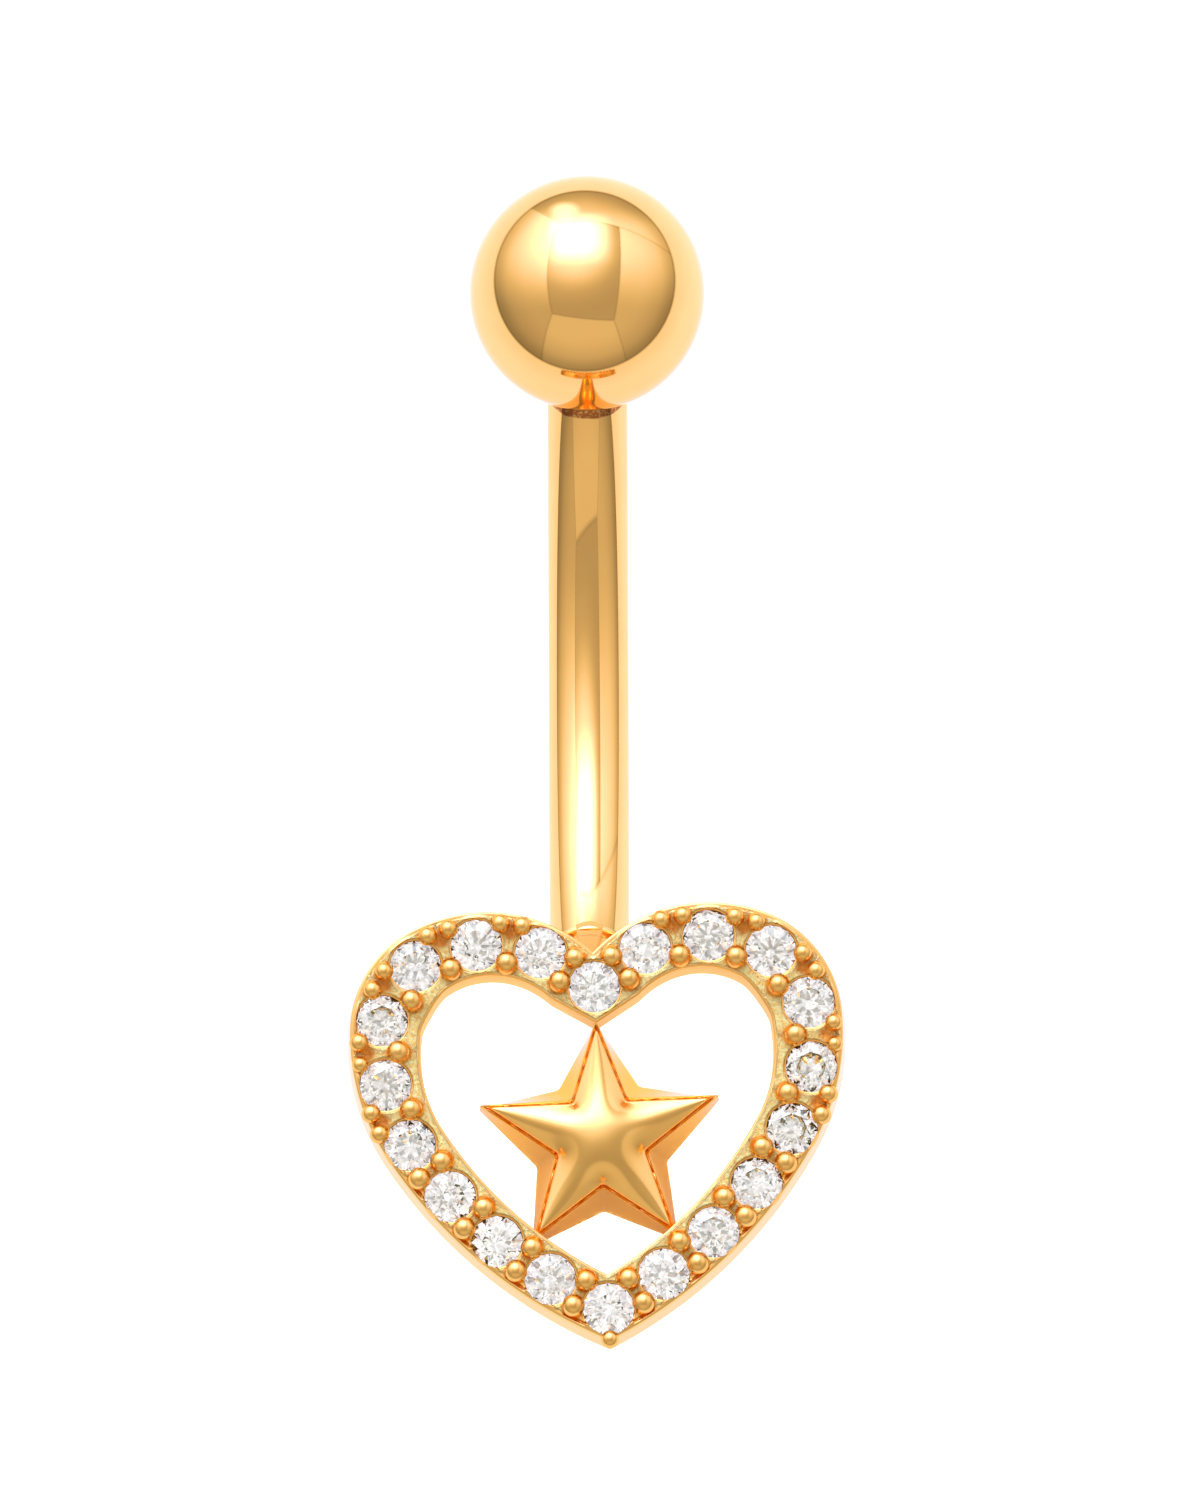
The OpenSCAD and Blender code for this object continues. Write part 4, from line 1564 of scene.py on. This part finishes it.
@dataclass(frozen=True)
class SolderJoint:
    """The solder that joins the bar's lower end to the back of the cleft, with a hollow fillet all round."""

    bar: CurvedBar
    heart: HeartPlane
    outline: HeartOutline
    seat_d: float = 1.44
    seat_drop: float = 0.35
    seat_reach: float = 0.02
    plate_inset: float = 0.12
    blend: float = 0.16
    skin_gap: float = 0.012
    spine_in: float = 0.5
    spine_bow: float = 0.12
    spine_end: float = 0.03
    sunk: float = 0.08
    sunk_middle: float = 0.15
    first_r: float = 0.05
    least_r: float = 0.02
    most_r: float = 1.15
    step: float = 0.7
    steps: int = 40
    # painted shade over the whole joint: deeper orange and brown
    tone: float = 0.3
    stain: float = 0.2
    rings: int = 96
    sides: int = 108

    def distance(self, points: Array) -> Array:
        """Works out the signed distance to bar, seat and plate, run together by a soft least value.

        The soft least value of distances d is -k log(sum of exp(-d / k)), with k a third of `blend`.

        Args:
            points: Points on the upright axes, shaped (..., 3).

        Returns:
            Distances, below 0 inside the metal.
        """
        up = self.bar.upright
        low = -up.upper_end
        centre_y = -up.bend_r * np.cos(up.half_bend)
        y, z = points[..., 1] - centre_y, points[..., 2]
        tube = np.hypot(np.hypot(y, z) - up.bend_r, points[..., 0]) - self.bar.diameter / 2
        angle = np.arctan2(z, y)
        past = (-up.half_bend - angle) * up.bend_r
        bar = np.maximum(tube, past)
        seat_z = low[2] - self.seat_drop
        radial = np.hypot(points[..., 0], z - seat_z) - self.seat_d / 2
        seat = np.maximum(radial, points[..., 1] - self.seat_reach)
        plane = (points - self.heart.origin) @ self.heart.axes.T
        inset = self.outline.locate(plane[..., :2])[1]
        plate = np.maximum(-plane[..., 2], self.plate_inset - inset)
        parts = np.stack([bar, seat, plate], axis=-1)
        return -self.blend / 3 * np.log(np.exp(-3 * parts / self.blend).sum(axis=-1)) + self.skin_gap

    def skin(self) -> Skin:
        """Looks out from a spine inside the joint to where the soft distance reaches 0, ring by ring.

        The spine is (1 - t)^2 start + 2t(1 - t) bend + t^2 end. Each step goes out by a share of the
        distance that is left.

        Returns:
            The solder's surface; its two ends close inside the bar and the plate.
        """
        up = self.bar.upright
        low = -up.upper_end * [0, 0, 1]
        tangent = np.array([0.0, np.sin(up.half_bend), np.cos(up.half_bend)])
        start = low + self.spine_in * tangent
        bend = low + [0, -self.spine_bow, -self.seat_drop]
        end = np.array([0.0, self.heart.back + self.spine_end, low[2] - self.seat_drop])
        t = np.linspace(0, 1, self.rings)[:, None]
        spine = (1 - t) ** 2 * start + 2 * t * (1 - t) * bend + t ** 2 * end
        along = unit(np.gradient(spine, axis=0))
        across = unit(np.cross(along, SIDEWAYS))
        turn = full_turn(self.sides)
        ring = ring_round(turn, across[:, None])
        reach = np.full(ring.shape[:2], self.first_r)
        for _ in range(self.steps):
            reach = reach - self.step * self.distance(spine[:, None] + reach[..., None] * ring)
            reach = np.clip(reach, self.least_r, self.most_r)
        points = spine[:, None] + reach[..., None] * ring
        sunk = points[-1:] + [0, -self.sunk, 0]
        close = spine[[0, -1], None] + 0.0 * ring[[0, -1]]
        close[-1] += [0, -self.sunk_middle, 0]
        points = np.concatenate([close[:1], points, sunk, close[1:]])
        all_over = np.ones(points.shape[:2])
        # painted shade: the whole joint is deeper orange and browner, as it lies in shade between the bar's
        # end and the heart
        return Skin.grid(points, {"crevice": self.tone * all_over, "brown": self.stain * all_over})


@dataclass(frozen=True)
class Ball:
    """The screw-on ball: a polished ball with a small flat, a countersink and a tapped blind hole."""

    upright: Upright
    diameter: float = 4.742
    shoulder_r: float = 0.835
    bore_r: float = 0.65
    bore_depth: float = 2.9
    bore_chamfer: float = 0.1
    shoulder_gap: float = 0.02
    pitch: float = 0.25
    tap: float = 0.05
    tap_rise: tuple[float, float] = (0.25, 0.5)
    tap_fall: tuple[float, float] = (2.5, 2.7)
    bore_tone: float = 0.6
    sides: int = 160

    @property
    def flat_h(self) -> float:
        """Distance of the flat from the ball's middle."""
        return float(np.sqrt((self.diameter / 2) ** 2 - self.shoulder_r ** 2))

    def skin(self) -> Skin:
        """Turns a profile round the thread's axis, from the bottom of the hole out over the flat to the top.

        Returns:
            The ball's surface, whose hole has the helix of the tap.
        """
        radius, flat = self.diameter / 2, -self.flat_h
        bore = np.linspace(flat + self.bore_depth, flat + self.bore_chamfer, 150)
        start = np.arcsin(self.shoulder_r / radius)
        flank = np.linspace(start, start + 0.06, 4)[1:]
        angle = np.concatenate([flank, np.linspace(start + 0.07, np.pi, 110)])
        mouth = [self.bore_r + self.bore_chamfer, self.shoulder_r]
        reach = np.concatenate([[0], np.full(len(bore), self.bore_r), mouth, radius * np.sin(angle)])
        reach[-1] = 0
        height = np.concatenate([[bore[0]], bore, [flat, flat], -radius * np.cos(angle)])
        turn = full_turn(self.sides)
        wave = 0.5 + 0.5 * np.cos(2 * np.pi * (height[:, None] / self.pitch - turn / (2 * np.pi)))
        rise, fall = np.add(self.tap_rise, flat), np.add(self.tap_fall, flat)
        inside = smooth(*rise, height) * (1 - smooth(*fall, height))
        inside = inside * (np.arange(len(reach)) <= len(bore))
        reach = reach[:, None] + self.tap * wave * inside[:, None]
        up = self.upright
        axis = up.ball_axis
        centre = up.upper_end + (self.flat_h + self.shoulder_gap) * axis
        ring = ring_round(turn, np.cross(axis, SIDEWAYS))
        points = centre + height[:, None, None] * axis + reach[..., None] * ring
        # painted shade inside the tapped hole
        crevice = (np.arange(len(height)) <= len(bore))[:, None] * self.bore_tone * np.ones(self.sides)
        return Skin.grid(points, {"crevice": crevice})


@dataclass(frozen=True)
class NavelRing:
    """The whole jewel, from the frame and its own few sizes."""

    bar_chord: float = 11.45
    plate_t: float = 1.3

    def build(self) -> None:
        """Builds and dresses every piece."""
        upright = Upright.from_record(frame["record"], self.bar_chord)
        bar = CurvedBar(upright)
        heart = HeartPlane(upright, bar.diameter)
        outline = HeartOutline()
        row = StoneRow.from_frame(heart)
        prongs = ProngBeads(row, heart, self.plate_t)
        band = HeartBand(outline, row, prongs, self.plate_t)
        solder = SolderJoint(bar, heart, outline)
        finishes = (POLISHED_GOLD, SATIN_GOLD, BEAD_GOLD, GRAINED_GOLD)
        polished, satin, beaded, grained = (finish.material() for finish in finishes)
        node = "bar_with_heart"
        make_piece("curved_bar", bar.skin(), upright.world, polished, Body.BAR, node)
        make_piece("solder_joint", solder.skin(), upright.world, satin, Body.BAR, node, SOFT_BEND)
        make_piece("heart_band", band.skin(), heart.world, grained, Body.BAR, node)
        make_piece("star", Star().skin(), heart.world, satin, Body.BAR, node)
        make_piece("prong_beads", prongs.skin(), heart.world, beaded, Body.BAR, node, SOFT_BEND)
        make_piece("gold_ball", Ball(upright).skin(), upright.world, polished, Body.BALL, "ball")
        self.dress_stones()

    @staticmethod
    def dress_stones() -> None:
        """Gives every CAD stone its finish."""
        clear = StoneFinish().material()
        for name, stone in sorted(frame["nodes"].items()):
            if name.startswith("stone_"):
                for slot in stone.material_slots:
                    slot.material = clear
                log.info("%s: dressed", name)


def away(x: Wire, y: Wire, centre: tuple[float, float], stretch: float = 1.0) -> Wire:
    """Returns the distance of (x, y) from a centre, with y stretched."""
    return ((x - centre[0]) ** 2.0 + ((y - centre[1]) * stretch) ** 2.0) ** 0.5


@dataclass(frozen=True)
class LightTent:
    """A white tent whose front is a box of five dimmer panels, with a lamp that spills over them.

    For a direction (x, y, z) on the camera's axes, n = (x, y) / sqrt(2 (1 + z)) is the slant of a mirror
    that would send it to the camera. The panels fill a circle of n; outside it is the bright tent.

    Each level is a strength of light. In a pair, the second number is what is added towards the top, or for
    the roof towards the front.
    """

    camera_axes: Array
    centre: tuple[float, float] = (-0.02, 0.092)
    halo_at: tuple[float, float] = (-0.106, 0.425)
    spill_at: tuple[float, float] = (-0.14, 0.42)
    top_lamp_at: tuple[float, float] = (-0.187, 0.69)
    gem_at: tuple[float, float] = (0.01, 0.03)
    front: float = 0.52
    roof: tuple[float, float] = (1.0, 0.5)
    left: tuple[float, float] = (0.62, 0.85)
    right: tuple[float, float] = (0.70, 0.78)
    base: float = 0.80
    seam: float = 0.22
    lamp: float = 3.1
    top_lamp: float = 1.3
    halo: float = 0.8
    spill: float = 0.52
    outer: tuple[float, float] = (1.36, 0.17)
    rim_shade: float = 0.40
    gem: tuple[float, float] = (0.84, 0.15)
    gem_patches: float = 0.55
    gem_middle: float = 0.62
    matt_gain: float = 0.4
    gold_tints: tuple[Colour, Colour] = ((1.03, 1.03, 1.0), (0.96, 1.03, 1.65))
    gem_tint: Colour = (1.0, 0.965, 0.885)

    def panels(self, nx: Wire, ny: Wire, edge: Wire) -> Wire:
        """Works out the light from the five panels and the lamp.

        The panels meet in curved seams, each a short polynomial of nx or ny.

        Args:
            nx: First coordinate of n.
            ny: Second coordinate of n.
            edge: Distance from the middle of the panels' circle.

        Returns:
            The strength inside the circle.
        """
        roof = ny - (0.602 - nx * nx * 0.42 - nx.at_least(0.0) * 0.09 + (-0.244 - nx).at_least(0.0) * 0.92)
        left = (ny * ny * 0.4388 - ny * 0.107 - 0.3283 - (-0.187 - ny).at_least(0.0) * 0.68) - nx
        right = nx - (0.2664 + ny * 0.1115 - ny * ny * 0.1885 + (-0.244 - ny).at_least(0.0) * 0.58)
        base = (nx * nx * 0.1927 - nx * 0.0969 - 0.2319) - ny
        upper = ny.rise(-0.20, 0.45)
        panes = (
            (roof, self.roof[0] + ny.rise(0.74, 0.52) * self.roof[1]),
            (left, upper * self.left[1] + self.left[0]),
            (right, upper * self.right[1] + self.right[0]),
            (base, self.base),
        )
        level, taken, seam = 0.0, 0.0, 0.0
        for side, value in panes:
            here = (side > 0.0) * (1.0 - taken)
            line = abs(side).rise(0.011, 0.003) * (1.0 - taken)
            level = level + here * value
            taken = taken + here
            seam = line.at_least(seam)
        level = level + (1.0 - taken) * self.front
        level = level * (1.0 - edge.rise(0.47, 0.84) * 0.42) * (1.0 - edge.rise(0.64, 0.76) * 0.22)
        halo = away(nx, ny, self.halo_at).rise(0.45, 0.10) * self.halo
        spill = away(nx, ny, self.spill_at).rise(0.62, 0.05) * self.spill
        glow = (spill + halo) * (1.0 - roof.rise(-0.02, 0.02) * 0.75)
        lamp = nx.rise(-0.36, -0.20) * nx.rise(0.24, -0.05) * ny.rise(0.20, 0.42) * ny.rise(0.69, 0.53)
        top_lamp = away(nx, ny, self.top_lamp_at, 1.8).rise(0.16, 0.03)
        level = level + glow + lamp * self.lamp + top_lamp * self.top_lamp
        return level * (1.0 - seam * self.seam)

    def strength(self, nx: Wire, ny: Wire) -> Wire:
        """Joins panels and tent, with a soft dark line where they meet.

        Args:
            nx: First coordinate of n.
            ny: Second coordinate of n.

        Returns:
            The strength of the light that gold mirrors.
        """
        edge = away(nx, ny, self.centre)
        outside = (ny * self.outer[1] + self.outer[0]) * (1.0 - edge.rise(0.93, 0.78) * 0.13)
        inside = edge.rise(0.768, 0.758)
        rim = edge.rise(0.745, 0.762) * edge.rise(0.778, 0.762)
        joined = self.panels(nx, ny, edge) * inside + outside * (1.0 - inside)
        return joined * (1.0 - rim * self.rim_shade)

    def build(self) -> None:
        """Lights the world.

        Gold mirrors the tent, cooler where it is bright. Matt surfaces get a little more of it. Stones send
        rays through to a light of their own, patchy and dim in the camera's place, and the camera itself
        sees plain white.
        """
        world = bpy.data.worlds.new("light_tent")
        world.use_nodes = True
        bpy.context.scene.world = world
        graph = Graph(world.node_tree)
        direction = graph.add("ShaderNodeTexCoord", {}, {}, "Generated")
        x, y, z = (graph.dot(direction, axis) for axis in self.camera_axes)
        slant = ((z + 1.0) * 2.0).at_least(0.0001) ** 0.5
        nx, ny = x / slant, y / slant
        patches = graph.noise(direction, 3.2, 2.0).rise(0.36, 0.60)
        gem = patches * self.gem_patches + ny * self.gem[1] + self.gem[0]
        gem = gem * (1.0 - away(nx, ny, self.gem_at).rise(0.15, 0.08) * self.gem_middle)
        through = graph.ray("Is Transmission Ray")
        lit = self.strength(nx, ny) * (graph.ray("Is Diffuse Ray") * self.matt_gain + 1.0)
        lit = lit * (1.0 - through) + gem * through
        tint = graph.mix(graph.ray("Is Glossy Ray") * lit.rise(0.75, 1.5), *self.gold_tints)
        tint = graph.mix(through, tint, self.gem_tint)
        tent = graph.add("ShaderNodeBackground", {}, {"Color": tint, "Strength": lit})
        plain = graph.add("ShaderNodeBackground", {}, {"Color": (1.0, 1.0, 1.0, 1.0), "Strength": 1.0})
        both = graph.add("ShaderNodeMixShader", {}, {0: graph.ray("Is Camera Ray"), 1: tent, 2: plain})
        graph.add("ShaderNodeOutputWorld", {}, {"Surface": both})


@dataclass(frozen=True)
class Studio:
    """A white table, a light tent round the jewel and a camera in the photograph's place."""

    upright: Upright
    tilt: float = 6.4
    roll: float = 0.22
    distance: float = 420.0
    photo_scale: float = 49.75
    photo_origin: tuple[float, float] = (588.5, 672.7)
    floor_half: float = 0.4

    @property
    def camera_axes(self) -> Array:
        """Turns the jewel's axes by the camera's tilt and roll.

        Returns:
            The picture's right, its up and the direction to the camera, in the frame.
        """
        tilt, roll = np.radians(self.tilt), np.radians(self.roll)
        up = np.array([0.0, -np.sin(tilt), np.cos(tilt)])
        back = np.array([0.0, -np.cos(tilt), -np.sin(tilt)])
        right = np.cos(roll) * SIDEWAYS - np.sin(roll) * up
        return np.array([right, np.cos(roll) * up + np.sin(roll) * SIDEWAYS, back]) @ self.upright.axes

    def place_camera(self) -> None:
        """Sets the camera so that the middle between the bar's ends falls on its pixel of the photograph."""
        right, up, back = self.camera_axes
        shift = (np.array(PHOTO_SIZE) / 2 - self.photo_origin) / self.photo_scale
        target = self.upright.world(np.zeros(3)) / MM + shift[0] * right - shift[1] * up
        data = bpy.data.cameras.new("camera")
        data.sensor_fit = "HORIZONTAL"
        data.angle = 2 * np.arctan(PHOTO_SIZE[0] / self.photo_scale / 2 / self.distance)
        data.clip_start = 0.01
        data.clip_end = 20.0
        camera = bpy.data.objects.new("camera", data)
        bpy.context.scene.collection.objects.link(camera)
        place = Matrix(np.array([right, up, back]).T.tolist()).to_4x4()
        place.translation = Vector(((target + self.distance * back) * MM).tolist())
        camera.matrix_world = place
        bpy.context.scene.camera = camera

    def lay_floor(self) -> None:
        """Lays the table top, which the polished gold doesn't mirror."""
        h = self.floor_half
        mesh = bpy.data.meshes.new("floor")
        mesh.from_pydata([(-h, -h, 0), (h, -h, 0), (h, h, 0), (-h, h, 0)], [], [(0, 1, 2, 3)])
        mesh.materials.append(FloorFinish().material())
        floor = bpy.data.objects.new("floor", mesh)
        bpy.context.scene.collection.objects.link(floor)
        floor.visible_glossy = False

    def build(self) -> None:
        """Sets up camera, floor and light, and shows colours as they are."""
        self.place_camera()
        self.lay_floor()
        LightTent(self.camera_axes).build()
        bpy.context.scene.view_settings.view_transform = "Standard"


def main() -> None:
    """Builds the jewel and its studio."""
    logging.basicConfig(level=logging.INFO, format="%(message)s")
    ring = NavelRing()
    ring.build()
    Studio(Upright.from_record(frame["record"], ring.bar_chord)).build()


if __name__ == "__main__":
    main()
